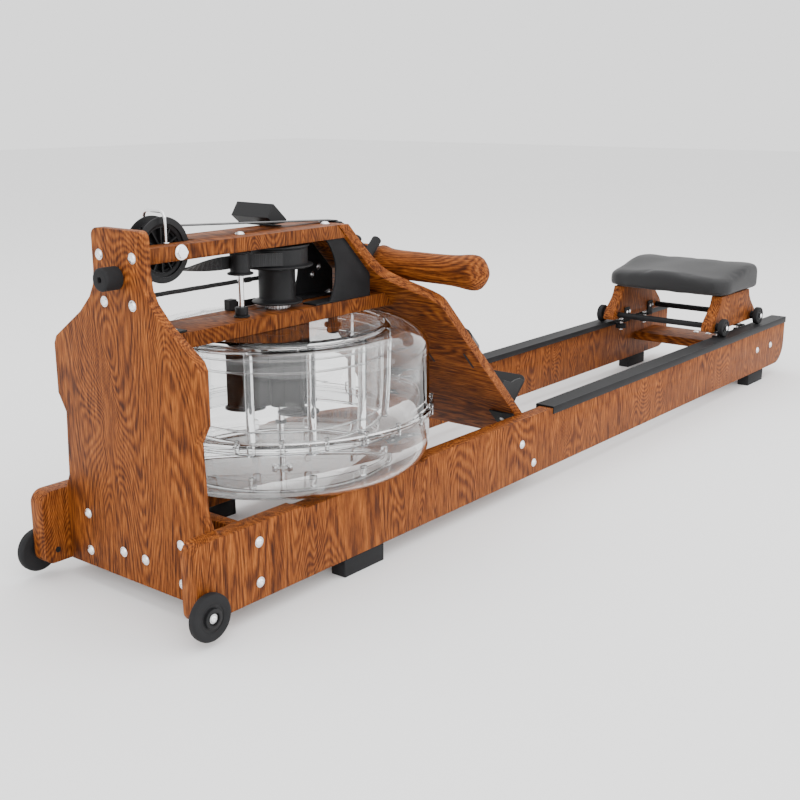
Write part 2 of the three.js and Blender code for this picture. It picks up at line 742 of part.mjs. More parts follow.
// The strap leaves the reel's left side, bends round the guide roller's right side, twists flat, turns round
// the front pulley from below and runs back over the roller at the top of the footboard.
function strapStations() {
  const stations = [];
  const upright = new THREE.Vector3(0, 0, 1);
  const crosswise = new THREE.Vector3(0, 1, 0);
  const lowerZ = PULLEY_Z - PULLEY_GROOVE - STRAP_LIFT;
  const station = (x, y, z, across, up) => {
    stations.push({ at: new THREE.Vector3(x, y, z), across: across.clone(), up: up.clone().normalize() });
  };
  const guideR = GUIDE_RADIUS + STRAP_LIFT;
  const reelR = REEL_DRUM + STRAP_LIFT;
  const span = Math.hypot(TANK_X - GUIDE_X, GUIDE_Y);
  const heading = Math.atan2(-GUIDE_Y, TANK_X - GUIDE_X);
  const bite = heading - Math.asin((guideR + reelR) / span);
  const normalAt = (angle) => new THREE.Vector3(Math.cos(angle), Math.sin(angle), 0);
  const normal = normalAt(bite + Math.PI / 2);
  const reelAt = normal.clone().multiplyScalar(-reelR).add(new THREE.Vector3(TANK_X, 0, 0));
  station(reelAt.x, reelAt.y, lowerZ, upright, normal);
  const bends = 4;
  for (let i = 0; i <= bends; i += 1) {
    const radial = normalAt(bite * (1 - i / bends) + Math.PI / 2);
    station(GUIDE_X + guideR * radial.x, GUIDE_Y + guideR * radial.y, lowerZ, upright, radial);
  }
  const twistStart = GUIDE_X - 22;
  const twistEnd = PULLEY_X + 30;
  const guideSideY = GUIDE_Y + guideR;
  const twists = 10;
  for (let i = 0; i <= twists; i += 1) {
    const share = i / twists;
    const turn = (share * Math.PI) / 2;
    const x = twistStart + (twistEnd - twistStart) * share;
    const across = new THREE.Vector3(0, -Math.sin(turn), Math.cos(turn));
    const up = new THREE.Vector3(0, Math.cos(turn), Math.sin(turn));
    station(x, guideSideY * (1 - share), lowerZ, across, up);
  }
  const pulleyR = PULLEY_GROOVE + STRAP_LIFT;
  const rollerR = REAR_ROLLER_RADIUS + STRAP_LIFT;
  const flatwise = crosswise.clone().negate();
  const runX = REAR_ROLLER_X - PULLEY_X;
  const runZ = REAR_ROLLER_Z - PULLEY_Z;
  const runAngle = Math.atan2(runZ, runX) - Math.asin((pulleyR - rollerR) / Math.hypot(runX, runZ));
  const turns = 14;
  const leave = runAngle + Math.PI / 2;
  for (let i = 0; i <= turns; i += 1) {
    const angle = -Math.PI / 2 - ((2 * Math.PI - Math.PI / 2 - leave) * i) / turns;
    const radial = new THREE.Vector3(Math.cos(angle), 0, Math.sin(angle));
    const up = radial.clone().negate();
    station(PULLEY_X + pulleyR * radial.x, 0, PULLEY_Z + pulleyR * radial.z, flatwise, up);
  }
  const rolls = 4;
  for (let i = 0; i <= rolls; i += 1) {
    const angle = leave + ((tailAngle() + Math.PI / 2 - leave) * i) / rolls;
    const radial = new THREE.Vector3(Math.cos(angle), 0, Math.sin(angle));
    const up = radial.clone().negate();
    station(REAR_ROLLER_X + rollerR * radial.x, 0, REAR_ROLLER_Z + rollerR * radial.z, flatwise, up);
  }
  return stations;
}

const TAIL_END = new THREE.Vector3(HANDLE_X - 17.5, 0, HANDLE_Z + 14.5);

// Direction of the strap between the rear roller and the resting handle, as an angle above +X.
function tailAngle() {
  const rollerR = REAR_ROLLER_RADIUS + STRAP_LIFT;
  const dx = TAIL_END.x - REAR_ROLLER_X;
  const dz = TAIL_END.z - REAR_ROLLER_Z;
  return Math.atan2(dz, dx) - Math.asin(rollerR / Math.hypot(dx, dz));
}

function addStrap() {
  add("pull_strap", ribbon(strapStations(), STRAP_WIDTH, STRAP_THICKNESS), webbing);
  const rollerR = REAR_ROLLER_RADIUS + STRAP_LIFT;
  const angle = tailAngle();
  const along = new THREE.Vector3(Math.cos(angle), 0, Math.sin(angle));
  const up = new THREE.Vector3(-Math.sin(angle), 0, Math.cos(angle));
  const across = new THREE.Vector3(0, -1, 0);
  const start = new THREE.Vector3(REAR_ROLLER_X, 0, REAR_ROLLER_Z).addScaledVector(up, rollerR);
  const length = TAIL_END.clone().sub(start).dot(along) - 3;
  const stations = [0.4, length].map((distance) => ({
    at: start.clone().addScaledVector(along, distance), across, up,
  }));
  add("strap_tail", ribbon(stations, STRAP_WIDTH, STRAP_THICKNESS), webbing);
}

function addBungee() {
  const anchorEnd = 82;
  const start = 70;
  const end = TANK_X - 4;
  const cord = latheX(rodProfile(BUNGEE_RADIUS, start, end), 12).translate(0, BUNGEE_Y, BUNGEE_Z);
  add("bungee_cord", cord, webbing);
  const plate = box(PANEL_BACK + GAP, PANEL_BACK + 3.3, -42, 44, 434, 462);
  const block = box(PANEL_BACK + 2, anchorEnd, BUNGEE_Y - 9, BUNGEE_Y + 9, BUNGEE_Z - 9, BUNGEE_Z + 9);
  const seat = latheX(rodProfile(BUNGEE_RADIUS + GAP, start - GAP, anchorEnd + 1), 12)
    .translate(0, BUNGEE_Y, BUNGEE_Z);
  add("bungee_anchor", cut(join(plate, block), seat), blackSteel);
}

// ---- handle and monitor ----

function addHandle() {
  const profile = [[0, -HANDLE_HALF]];
  const half = [
    [7, HANDLE_HALF - 0.6], [13, HANDLE_HALF - 4], [20, HANDLE_HALF - 9.5], [26, HANDLE_HALF - 16],
    [29, HANDLE_HALF - 23], [29.6, HANDLE_HALF - 32], [28.7, HANDLE_HALF - 43], [26.5, HANDLE_HALF - 60],
    [25.6, HANDLE_HALF - 82], [25.2, 110], [25.4, 60], [26.4, 40], [29, 30], [31, 23], [30.6, 17], [27.4, 13],
  ];
  profile.push(...half.map(([r, y]) => [r, -y]), ...half.slice().reverse(), [0, HANDLE_HALF]);
  const grip = latheY(profile, 20).scale(HANDLE_FLATNESS, 1, 1);
  add("handle_grip", grip.translate(HANDLE_X, 0, HANDLE_Z), wood);
}

function addMonitor() {
  const foot = BEAM_TOP + GAP;
  const base = box(370, 386, 13, MONITOR_FAR + 3, foot, foot + 1.2);
  const ear = box(370, 386, MONITOR_FAR + 1, MONITOR_FAR + 3, foot, 546);
  add("monitor_bracket", join(base, ear), blackSteel);
  const body = outline([
    [351.6, 541], [352, 544], [365.5, 562], [368.5, 563.3], [395, 537.5], [395.6, 534.5], [392, 530.5],
    [368, 529.8], [365, 530.5],
  ]);
  add("monitor", prismXZ(body, MONITOR_NEAR, MONITOR_FAR), blackPlastic);
}

// ---- transport wheels ----

function addTransportWheels() {
  const inner = 189;
  const outer = 205;
  const edge = 5;
  const r = TRANSPORT_RADIUS;
  const profile = [
    [5, inner], [13, inner], [13, inner + 1], [r - edge, inner + 1],
    ...arc(r - edge, inner + 1 + edge, edge, -90, 0, 3).slice(1),
    ...arc(r - edge, outer - edge, edge, 0, 90, 3),
    [14, outer - 1.5], [13, outer + 2], [5, outer + 2], [5, inner],
  ];
  for (const [name, side] of Object.entries(SIDES)) {
    const wheel = latheY(profile, 24);
    if (side < 0) {
      wheel.rotateZ(Math.PI);
    }
    add(`${name}_transport_wheel`, wheel.translate(TRANSPORT_X, 0, TRANSPORT_Z), rubber);
  }
}

// ---- seat ----

function carriageOutline() {
  const shape = new THREE.Shape();
  const foot = 138;
  const head = 84;
  const height = CARRIAGE_TOP - CARRIAGE_BOTTOM;
  shape.moveTo(-foot + 6, CARRIAGE_BOTTOM);
  shape.lineTo(foot - 6, CARRIAGE_BOTTOM);
  shape.quadraticCurveTo(foot, CARRIAGE_BOTTOM, foot - 1, CARRIAGE_BOTTOM + 8);
  shape.bezierCurveTo(foot - 8, CARRIAGE_BOTTOM + height * 0.45, head + 8, CARRIAGE_BOTTOM + height * 0.5,
    head, CARRIAGE_TOP);
  shape.lineTo(-head, CARRIAGE_TOP);
  shape.bezierCurveTo(-head - 8, CARRIAGE_BOTTOM + height * 0.5, -foot + 8, CARRIAGE_BOTTOM + height * 0.45,
    -foot + 1, CARRIAGE_BOTTOM + 8);
  shape.quadraticCurveTo(-foot, CARRIAGE_BOTTOM, -foot + 6, CARRIAGE_BOTTOM);
  return shape;
}

// Half of the pad's plan, from the middle of the rear edge round to the middle of the bowed front edge.
function padPlan() {
  const half = [[109, 0], [109, 74], [109, 149], ...arc(93, 149, 16, 0, 90, 3).slice(1), [30, 165], [-30, 165]];
  half.push(...arc(-66, 125, 40, 90, 180, 4).slice(0, -1));
  for (const y of [122, 82, 41, 0]) {
    half.push([-106 - 12 * (1 - (y / 125) ** 2), y]);
  }
  return [...half, ...half.slice(1, -1).reverse().map(([x, y]) => [x, -y])];
}

// Height of the pad's top over its underside: low at the front, humped in the middle, level at the rear.
function padTop(x, y) {
  const along = Math.min(1, Math.max(0, (x + 100) / 165));
  const rise = along * along * (3 - 2 * along);
  const across = y / 165;
  const hump = 12 * Math.exp(-((across / 0.5) ** 2)) * (1 - rise);
  const hollow = 5 * Math.exp(-(((Math.abs(across) - 0.42) / 0.26) ** 2) - ((x - 12) / 48) ** 2);
  return 37 + 26 * rise + hump - hollow;
}

function padBody() {
  const plan = padPlan();
  const layers = [
    [0.95, 1], [1, 0.88], [1, 0.2], [0.975, 0.06], [0.92, 0], [0.7, 0], [0.45, 0], [0.2, 0],
  ];
  const points = [];
  const triangles = [];
  for (const [share, drop] of layers) {
    for (const [x, y] of plan) {
      points.push(x * share, y * share, PAD_BOTTOM + (1 - drop) * padTop(x * share, y * share));
    }
  }
  const count = plan.length;
  const under = layers.length * count;
  points.push(0, 0, PAD_BOTTOM, 0, 0, PAD_BOTTOM + padTop(0, 0));
  for (let i = 0; i < count; i += 1) {
    const next = (i + 1) % count;
    triangles.push(next, i, under);
    for (let layer = 0; layer < layers.length - 1; layer += 1) {
      const [a, b] = [layer * count + i, layer * count + next];
      triangles.push(a, b, b + count, a, b + count, a + count);
    }
    const last = (layers.length - 1) * count;
    triangles.push(last + i, last + next, under + 1);
  }
  const geometry = new THREE.BufferGeometry();
  geometry.setAttribute("position", new THREE.Float32BufferAttribute(points, 3));
  geometry.setIndex(triangles);
  return weld(geometry);
}

function addSeat() {
  const seat = new THREE.Group();
  seat.position.x = CARRIAGE_X;
  machine.add(seat);
  add("seat_pad", padBody(), vinyl, seat);
  add("seat_base", box(-82, 82, -144, 144, CARRIAGE_TOP + GAP, PAD_BOTTOM - GAP), blackSteel, seat);

  const bore = AXLE_ROD + GAP;
  for (const [name, side] of Object.entries(SIDES)) {
    const faces = [side * CARRIAGE_INNER, side * CARRIAGE_OUTER].sort((a, b) => a - b);
    const bores = [-AXLE_SPREAD, AXLE_SPREAD].map((x) => latheY(
      rodProfile(bore, faces[0] - 1, faces[1] + 1), 20).translate(x, 0, AXLE_Z));
    const plate = cut(prismXZ(carriageOutline(), faces[0], faces[1], 6), ...bores);
    add(`${name}_carriage_plate`, plate, wood, seat);
    for (const [place, x] of [["front", -1], ["rear", 1]]) {
      const wheel = latheY([
        [bore, WHEEL_INNER - 6], [10, WHEEL_INNER - 6], [10, WHEEL_INNER], [WHEEL_RADIUS - 3, WHEEL_INNER],
        [WHEEL_RADIUS, WHEEL_INNER + 3], [WHEEL_RADIUS, WHEEL_OUTER - 3], [WHEEL_RADIUS - 3, WHEEL_OUTER],
        [bore, WHEEL_OUTER], [bore, WHEEL_INNER - 6],
      ], 20);
      if (side < 0) {
        wheel.rotateZ(Math.PI);
      }
      add(`${name}_${place}_wheel`, wheel.translate(x * AXLE_SPREAD, 0, AXLE_Z), rubber, seat);
      const roller = latheZ([
        [3.3, ROLLER_BOTTOM], [ROLLER_RADIUS - 1.5, ROLLER_BOTTOM], [ROLLER_RADIUS, ROLLER_BOTTOM + 1.5],
        [ROLLER_RADIUS, ROLLER_TOP - 1.5], [ROLLER_RADIUS - 1.5, ROLLER_TOP], [3.3, ROLLER_TOP],
        [3.3, ROLLER_BOTTOM],
      ], 16);
      roller.translate(x * ROLLER_SPREAD, side * ROLLER_Y, 0);
      add(`${name}_${place}_guide_roller`, roller, blackPlastic, seat);
    }
  }
  for (const [place, x] of [["front", -1], ["rear", 1]]) {
    const rod = latheY(rodProfile(AXLE_ROD, -WHEEL_OUTER - 3, WHEEL_OUTER + 3), 18);
    add(`${place}_axle_rod`, rod.translate(x * AXLE_SPREAD, 0, AXLE_Z), blackSteel, seat);
  }
}

addRails();
addCrossbars();
addFeet();
addFrontPanel();
addBeamAndDeck();
addSidePlates();
addFootboard();
addFootRests();
addHandleRest();
addRearRoller();
addTank();
addImpeller();
addReel();
addFrontPulley();
addGuideRoller();
addStrap();
addBungee();
addHandle();
addMonitor();
addTransportWheels();
addSeat();

const group = new THREE.Group();
group.add(machine);

export default group;
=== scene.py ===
"""Looks of a wooden water rowing machine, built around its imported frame.

Lengths in the making functions are millimetres, measured from the rails' front ends (x), the centre line (y)
and the floor (z), as a maker would mark them. They become metres when a piece is finished.
"""

import math

import bmesh
import bpy
from mathutils import Matrix, Vector


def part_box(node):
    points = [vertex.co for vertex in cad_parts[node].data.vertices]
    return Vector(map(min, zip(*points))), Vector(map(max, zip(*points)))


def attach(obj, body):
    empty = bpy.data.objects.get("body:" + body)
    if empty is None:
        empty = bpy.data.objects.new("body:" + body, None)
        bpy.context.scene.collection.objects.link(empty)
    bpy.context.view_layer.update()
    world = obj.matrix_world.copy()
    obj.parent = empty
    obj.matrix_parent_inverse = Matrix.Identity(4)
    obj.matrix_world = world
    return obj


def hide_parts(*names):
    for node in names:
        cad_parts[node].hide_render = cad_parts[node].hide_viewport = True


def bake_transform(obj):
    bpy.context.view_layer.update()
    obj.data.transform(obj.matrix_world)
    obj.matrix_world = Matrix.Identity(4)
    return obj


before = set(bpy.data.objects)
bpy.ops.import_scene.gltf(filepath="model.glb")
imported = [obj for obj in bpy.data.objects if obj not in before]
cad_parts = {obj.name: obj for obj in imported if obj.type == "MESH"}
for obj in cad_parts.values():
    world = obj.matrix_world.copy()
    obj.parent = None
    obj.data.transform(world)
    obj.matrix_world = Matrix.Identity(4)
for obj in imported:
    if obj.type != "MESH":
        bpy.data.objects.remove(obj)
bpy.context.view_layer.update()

bl_info = {
    "name": "Water rowing machine",
    "version": (1, 0, 0),
    "blender": (4, 5, 0),
    "location": "3D View > Sidebar > Rower",
    "description": "Builds the visible pieces of a wooden water rowing machine",
    "category": "Object",
}

MM = 0.001
RAIL_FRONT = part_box("left_rail")[0].x
SIDES = {"left": -1, "right": 1}
ENDS = ("front", "rear")
BOARD_TILT = math.radians(45.69)
BOARD_TOP = Vector((475, 0, 526))
BOARD_THICK = 18.0
STRAP_WIDTH, STRAP_THICKNESS = 20, 1.5
HANDLE_SQUASH = 0.78
BOLT_SEGMENTS = 24
TANK_CORNER, TANK_WALL, TANK_SEGMENTS = 40, 4, 112
TANK_STEP, TANK_RING = 5.4, 176.0
GRIP_ROUND = 27.6


# ---- places and shapes ----

def span(node):
    """Lowest and highest corner of a frame node, in the maker's millimetres."""
    shift = Vector((RAIL_FRONT, 0, 0))
    low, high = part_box(node)
    return (low - shift) / MM, (high - shift) / MM


def centre(node):
    low, high = span(node)
    return (low + high) / 2


def metres(point):
    return Vector((RAIL_FRONT + point[0] * MM, point[1] * MM, point[2] * MM))


def shifted(x=0.0, y=0.0, z=0.0):
    return Matrix.Translation((x, y, z))


def turned_to(axis):
    """Turns local +Z to the named axis, such as +Y or -Z."""
    target = {"X": Vector((1, 0, 0)), "Y": Vector((0, 1, 0)), "Z": Vector((0, 0, 1))}[axis[1]]
    if axis[0] == "-":
        target = -target
    return target.to_track_quat("Z", "Y").to_matrix().to_4x4()


def outward(side):
    """Turns local +Z away from the centre line; side is -1 for left and 1 for right."""
    return turned_to("+Y" if side > 0 else "-Y")


ON_BOARD = Matrix.Translation(BOARD_TOP) @ Matrix.Rotation(BOARD_TILT, 4, "Y")


class Shape:
    """Points and faces gathered for one piece, in the maker's millimetres."""

    def __init__(self):
        self.points = []
        self.faces = []
        self.finish = []

    def add(self, part, matrix=Matrix(), finish=0):
        points, faces = part
        start = len(self.points)
        self.points += [matrix @ Vector(point) for point in points]
        self.faces += [tuple(start + i for i in face) for face in faces]
        self.finish += [finish] * len(faces)
        return self


def block(x0, x1, y0, y1, z0, z1):
    points = [(x, y, z) for z in (z0, z1) for y in (y0, y1) for x in (x0, x1)]
    faces = [(0, 2, 3, 1), (4, 5, 7, 6), (0, 1, 5, 4), (2, 6, 7, 3), (0, 4, 6, 2), (1, 3, 7, 5)]
    return points, faces


def prism(outline, low, high):
    """An outline in x and y between two heights."""
    count = len(outline)
    points = [(x, y, low) for x, y in outline] + [(x, y, high) for x, y in outline]
    faces = [tuple(reversed(range(count))), tuple(range(count, 2 * count))]
    faces += [(i, (i + 1) % count, (i + 1) % count + count, i + count) for i in range(count)]
    return points, faces


def lathe(profile, segments=64):
    """A profile of (radius, height) turned about Z. Ends on the axis become poles; equal ends close a ring."""
    closed = profile[0] == profile[-1]
    rows = profile[:-1] if closed else profile
    points, starts = [], []
    for radius, height in rows:
        starts.append(len(points))
        if radius == 0:
            points.append((0, 0, height))
            continue
        for i in range(segments):
            angle = 2 * math.pi * i / segments
            points.append((radius * math.cos(angle), radius * math.sin(angle), height))
    faces = []
    pairs = list(zip(range(len(rows)), list(range(1, len(rows))) + ([0] if closed else [])))
    for a, b in pairs:
        for i in range(segments):
            j = (i + 1) % segments
            a0, a1 = (starts[a], starts[a]) if rows[a][0] == 0 else (starts[a] + i, starts[a] + j)
            b0, b1 = (starts[b], starts[b]) if rows[b][0] == 0 else (starts[b] + i, starts[b] + j)
            face = [a0, a1, b1, b0]
            face = [v for k, v in enumerate(face) if v not in face[:k]]
            if len(face) > 2:
                faces.append(tuple(face))
    return points, faces


def arc(cx, cy, radius, start, end, steps=6):
    angles = [math.radians(start + (end - start) * i / steps) for i in range(steps + 1)]
    return [(cx + radius * math.cos(a), cy + radius * math.sin(a)) for a in angles]


def drum(radius, low, high, edge=1.0, bore=0.0):
    """A rounded disc or tube profile between two heights."""
    outer = arc(radius - edge, low + edge, edge, -90, 0, 3) + arc(radius - edge, high - edge, edge, 0, 90, 3)
    if bore:
        return [(bore, low)] + outer + [(bore, high), (bore, low)]
    return [(0, low)] + outer + [(0, high)]


def sweep(path, radius, sides=12, closed=False):
    """A round bar along a list of points."""
    path = [Vector(p) for p in path]
    count = len(path)
    points, faces = [], []
    normal = None
    for i, at in enumerate(path):
        ahead = path[(i + 1) % count] if closed or i + 1 < count else at
        behind = path[i - 1] if closed or i > 0 else at
        along = (ahead - behind).normalized()
        if normal is None:
            normal = along.orthogonal().normalized()
        normal = (normal - along * normal.dot(along)).normalized()
        other = along.cross(normal)
        for k in range(sides):
            angle = 2 * math.pi * k / sides
            points.append(at + radius * (normal * math.cos(angle) + other * math.sin(angle)))
    rings = count if closed else count - 1
    for i in range(rings):
        for k in range(sides):
            a = i * sides + k
            b = i * sides + (k + 1) % sides
            faces.append((a, b, (b + sides) % (count * sides), (a + sides) % (count * sides)))
    if not closed:
        faces.append(tuple(reversed(range(sides))))
        faces.append(tuple((count - 1) * sides + k for k in range(sides)))
    return points, faces


def ribbon(path, across, width, thickness):
    """A flat band along a list of points, with its width along one direction."""
    path = [Vector(p) for p in path]
    across = Vector(across).normalized()
    points, faces = [], []
    for i, at in enumerate(path):
        along = (path[min(i + 1, len(path) - 1)] - path[max(i - 1, 0)]).normalized()
        up = along.cross(across).normalized()
        for u, v in ((-1, -1), (1, -1), (1, 1), (-1, 1)):
            points.append(at + across * (u * width / 2) + up * (v * thickness / 2))
    for i in range(len(path) - 1):
        for k in range(4):
            a = 4 * i + k
            b = 4 * i + (k + 1) % 4
            faces.append((a, b, b + 4, a + 4))
    end = 4 * (len(path) - 1)
    faces += [(3, 2, 1, 0), (end, end + 1, end + 2, end + 3)]
    return points, faces


def link(obj):
    bpy.context.scene.collection.objects.link(obj)
    return obj


def polish(mesh, merge=1e-6, flat=False, angle=35):
    """Merges doubles, turns every face outward and smooths the round stretches."""
    cage = bmesh.new()
    cage.from_mesh(mesh)
    bmesh.ops.remove_doubles(cage, verts=cage.verts, dist=merge)
    if flat:
        bmesh.ops.dissolve_limit(cage, angle_limit=math.radians(1), verts=cage.verts, edges=cage.edges)
    bmesh.ops.recalc_face_normals(cage, faces=cage.faces)
    cage.to_mesh(mesh)
    cage.free()
    mesh.shade_smooth()
    if angle:
        mesh.set_sharp_from_angle(angle=math.radians(angle))


def settle(obj, body, replaces=(), bevel=0.0, steps=2):
    """Rounds the edges, then hands the piece to its body."""
    if bevel:
        edge = obj.modifiers.new("Rounded edges", "BEVEL")
        edge.width = bevel * MM
        edge.segments = steps
        edge.limit_method = "ANGLE"
        edge.angle_limit = math.radians(36)
        edge.harden_normals = True
    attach(obj, body)
    if replaces:
        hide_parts(*replaces)
    return obj


def make(name, shape, finishes, body="frame", replaces=(), bevel=0.0, angle=35):
    mesh = bpy.data.meshes.new(name)
    mesh.from_pydata([metres(p) for p in shape.points], [], shape.faces)
    for finish in finishes:
        mesh.materials.append(finish)
    mesh.polygons.foreach_set("material_index", shape.finish)
    polish(mesh, angle=0 if bevel else angle)
    return settle(link(bpy.data.objects.new(name, mesh)), body, replaces, bevel)


def board(node, finish, bevel=2.0, body="frame"):
    """A frame node's own shape, with its edges rounded over."""
    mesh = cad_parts[node].data.copy()
    mesh.name = node + "_piece"
    mesh.materials.clear()
    mesh.materials.append(finish)
    polish(mesh, merge=1e-5, flat=True, angle=0)
    return settle(link(bpy.data.objects.new(node + "_piece", mesh)), body, [node], bevel)


# ---- geometry node trees ----

def start_tree(name, inputs):
    tree = bpy.data.node_groups.new(name, "GeometryNodeTree")
    tree.interface.new_socket("Geometry", in_out="INPUT", socket_type="NodeSocketGeometry")
    for label, kind in inputs:
        tree.interface.new_socket(label, in_out="INPUT", socket_type=kind)
    tree.interface.new_socket("Geometry", in_out="OUTPUT", socket_type="NodeSocketGeometry")
    return tree, tree.nodes.new("NodeGroupInput"), tree.nodes.new("NodeGroupOutput")


def end_tree(tree, instances, given, result):
    """Realize Instances and Set Material close every tree."""
    solid = tree.nodes.new("GeometryNodeRealizeInstances")
    paint = tree.nodes.new("GeometryNodeSetMaterial")
    tree.links.new(instances, solid.inputs["Geometry"])
    tree.links.new(solid.outputs["Geometry"], paint.inputs["Geometry"])
    tree.links.new(given.outputs["Finish"], paint.inputs["Material"])
    tree.links.new(paint.outputs["Geometry"], result.inputs["Geometry"])


def fastener_tree():
    """Puts one item on every point, standing along the point's facing direction."""
    inputs = [("Item", "NodeSocketObject"), ("Size", "NodeSocketFloat"), ("Finish", "NodeSocketMaterial")]
    tree, given, result = start_tree("Fasteners on points", inputs)
    facing = tree.nodes.new("GeometryNodeInputNamedAttribute")
    facing.data_type = "FLOAT_VECTOR"
    facing.inputs["Name"].default_value = "facing"
    align = tree.nodes.new("FunctionNodeAlignRotationToVector")
    align.axis = "Z"
    item = tree.nodes.new("GeometryNodeObjectInfo")
    place = tree.nodes.new("GeometryNodeInstanceOnPoints")
    shown = [socket for socket in facing.outputs if socket.enabled and socket.name == "Attribute"]
    tree.links.new(shown[0], align.inputs["Vector"])
    tree.links.new(given.outputs["Item"], item.inputs["Object"])
    tree.links.new(given.outputs["Geometry"], place.inputs["Points"])
    tree.links.new(item.outputs["Geometry"], place.inputs["Instance"])
    tree.links.new(align.outputs["Rotation"], place.inputs["Rotation"])
    tree.links.new(given.outputs["Size"], place.inputs["Scale"])
    end_tree(tree, place.outputs["Instances"], given, result)
    return tree


def ring_tree():
    """Repeats one item evenly round the Z axis."""
    tree, given, result = start_tree("Repeat round an axis",
                                     [("Count", "NodeSocketInt"), ("Finish", "NodeSocketMaterial")])
    places = tree.nodes.new("GeometryNodePoints")
    index = tree.nodes.new("GeometryNodeInputIndex")
    share = tree.nodes.new("ShaderNodeMath")
    share.operation = "DIVIDE"
    angle = tree.nodes.new("ShaderNodeMath")
    angle.operation = "MULTIPLY"
    angle.inputs[1].default_value = 2 * math.pi
    turn = tree.nodes.new("ShaderNodeCombineXYZ")
    place = tree.nodes.new("GeometryNodeInstanceOnPoints")
    tree.links.new(given.outputs["Count"], places.inputs["Count"])
    tree.links.new(index.outputs["Index"], share.inputs[0])
    tree.links.new(given.outputs["Count"], share.inputs[1])
    tree.links.new(share.outputs[0], angle.inputs[0])
    tree.links.new(angle.outputs[0], turn.inputs["Z"])
    tree.links.new(places.outputs[0], place.inputs["Points"])
    tree.links.new(given.outputs["Geometry"], place.inputs["Instance"])
    tree.links.new(turn.outputs["Vector"], place.inputs["Rotation"])
    end_tree(tree, place.outputs["Instances"], given, result)
    return tree


def run_tree(obj, tree, values):
    """Runs a tree on an object and gives the result as a plain mesh; the object goes away."""
    modifier = obj.modifiers.new("Nodes", "NODES")
    modifier.node_group = tree
    for label, value in values.items():
        modifier[tree.interface.items_tree[label].identifier] = value
    bpy.context.view_layer.update()
    ready = obj.evaluated_get(bpy.context.evaluated_depsgraph_get())
    mesh = bpy.data.meshes.new_from_object(ready)
    bpy.data.objects.remove(obj)
    return mesh


def scratch(name, shape, scale=1.0):
    mesh = bpy.data.meshes.new(name)
    mesh.from_pydata([Vector(p) * scale for p in shape.points], [], shape.faces)
    polish(mesh, merge=1e-6 if scale < 1 else 1e-4)
    return link(bpy.data.objects.new(name, mesh))


def fasteners(name, item, places, finish, body="frame", size=1.0):
    """Bolts or screws at (point, facing) places, as one plain piece on one body."""
    mesh = bpy.data.meshes.new(name + "_points")
    mesh.from_pydata([metres(at) for at, _ in places], [], [])
    facing = mesh.attributes.new("facing", "FLOAT_VECTOR", "POINT")
    facing.data.foreach_set("vector", [value for _, way in places for value in Vector(way).normalized()])
    seed = link(bpy.data.objects.new(name + "_points", mesh))
    pattern = scratch(name + "_item", Shape().add(item), MM)
    result = run_tree(seed, TREES["fasteners"], {"Item": pattern, "Size": size, "Finish": finish})
    bpy.data.objects.remove(pattern)
    return settle(link(bpy.data.objects.new(name, result)), body)


def ringed(name, item, count, matrix, finish, body="frame", angle=35):
    """An item repeated round an axis, as one plain piece on one body."""
    seed = scratch(name + "_item", Shape().add(item))
    result = run_tree(seed, TREES["ring"], {"Count": count, "Finish": finish})
    result.transform(Matrix.Translation((RAIL_FRONT, 0, 0)) @ Matrix.Scale(MM, 4) @ matrix)
    result.set_sharp_from_angle(angle=math.radians(angle))
    return settle(link(bpy.data.objects.new(name, result)), body)


# ---- materials ----

class Recipe:
    """A small helper that chains shader nodes in front of one Principled shader."""

    def __init__(self, name):
        self.material = bpy.data.materials.new(name)
        self.material.use_nodes = True
        self.tree = self.material.node_tree
        self.shader = self.tree.nodes["Principled BSDF"]

    def node(self, kind, values, **settings):
        made = self.tree.nodes.new(kind)
        for key, value in settings.items():
            setattr(made, key, value)
        for key, value in values.items():
            if isinstance(value, bpy.types.NodeSocket):
                self.tree.links.new(value, made.inputs[key])
            else:
                made.inputs[key].default_value = value
        return made

    def place(self, scale, turn=(0, 0, 0), move=(0, 0, 0)):
        where = self.tree.nodes.new("ShaderNodeTexCoord").outputs["Object"]
        values = {"Vector": where, "Scale": scale, "Rotation": turn, "Location": move}
        return self.node("ShaderNodeMapping", values).outputs["Vector"]

    def noise(self, place, scale, detail=4.0, roughness=0.5, distortion=0.0):
        values = {"Vector": place, "Scale": scale, "Detail": detail, "Roughness": roughness,
                  "Distortion": distortion}
        return self.node("ShaderNodeTexNoise", values).outputs["Fac"]

    def waves(self, place, scale, direction="X", distortion=0.0, detail=2.0):
        values = {"Vector": place, "Scale": scale, "Distortion": distortion, "Detail": detail}
        return self.node("ShaderNodeTexWave", values, bands_direction=direction).outputs["Fac"]

    def ramp(self, factor, stops):
        made = self.node("ShaderNodeValToRGB", {"Fac": factor})
        elements = made.color_ramp.elements
        while len(elements) < len(stops):
            elements.new(0.5)
        for element, (position, colour) in zip(elements, stops):
            element.position = position
            element.color = (*colour, 1)
        return made.outputs["Color"]

    def span(self, value, low, high, start=0.0, end=1.0):
        values = {"Value": value, "From Min": start, "From Max": end, "To Min": low, "To Max": high}
        return self.node("ShaderNodeMapRange", values).outputs["Result"]

    def blend(self, factor, first, second, way="MIX"):
        made = self.node("ShaderNodeMix", {0: factor, 6: first, 7: second}, data_type="RGBA", blend_type=way)
        return made.outputs[2]

    def total(self, first, second, way="ADD"):
        return self.node("ShaderNodeMath", {0: first, 1: second}, operation=way).outputs[0]

    def bump(self, height, strength, depth):
        values = {"Height": height, "Strength": strength, "Distance": depth * MM}
        self.set(Normal=self.node("ShaderNodeBump", values).outputs["Normal"])

    def set(self, **values):
        for key, value in values.items():
            socket = self.shader.inputs[key.replace("_", " ")]
            if isinstance(value, bpy.types.NodeSocket):
                self.tree.links.new(value, socket)
            else:
                socket.default_value = value
        return self.material


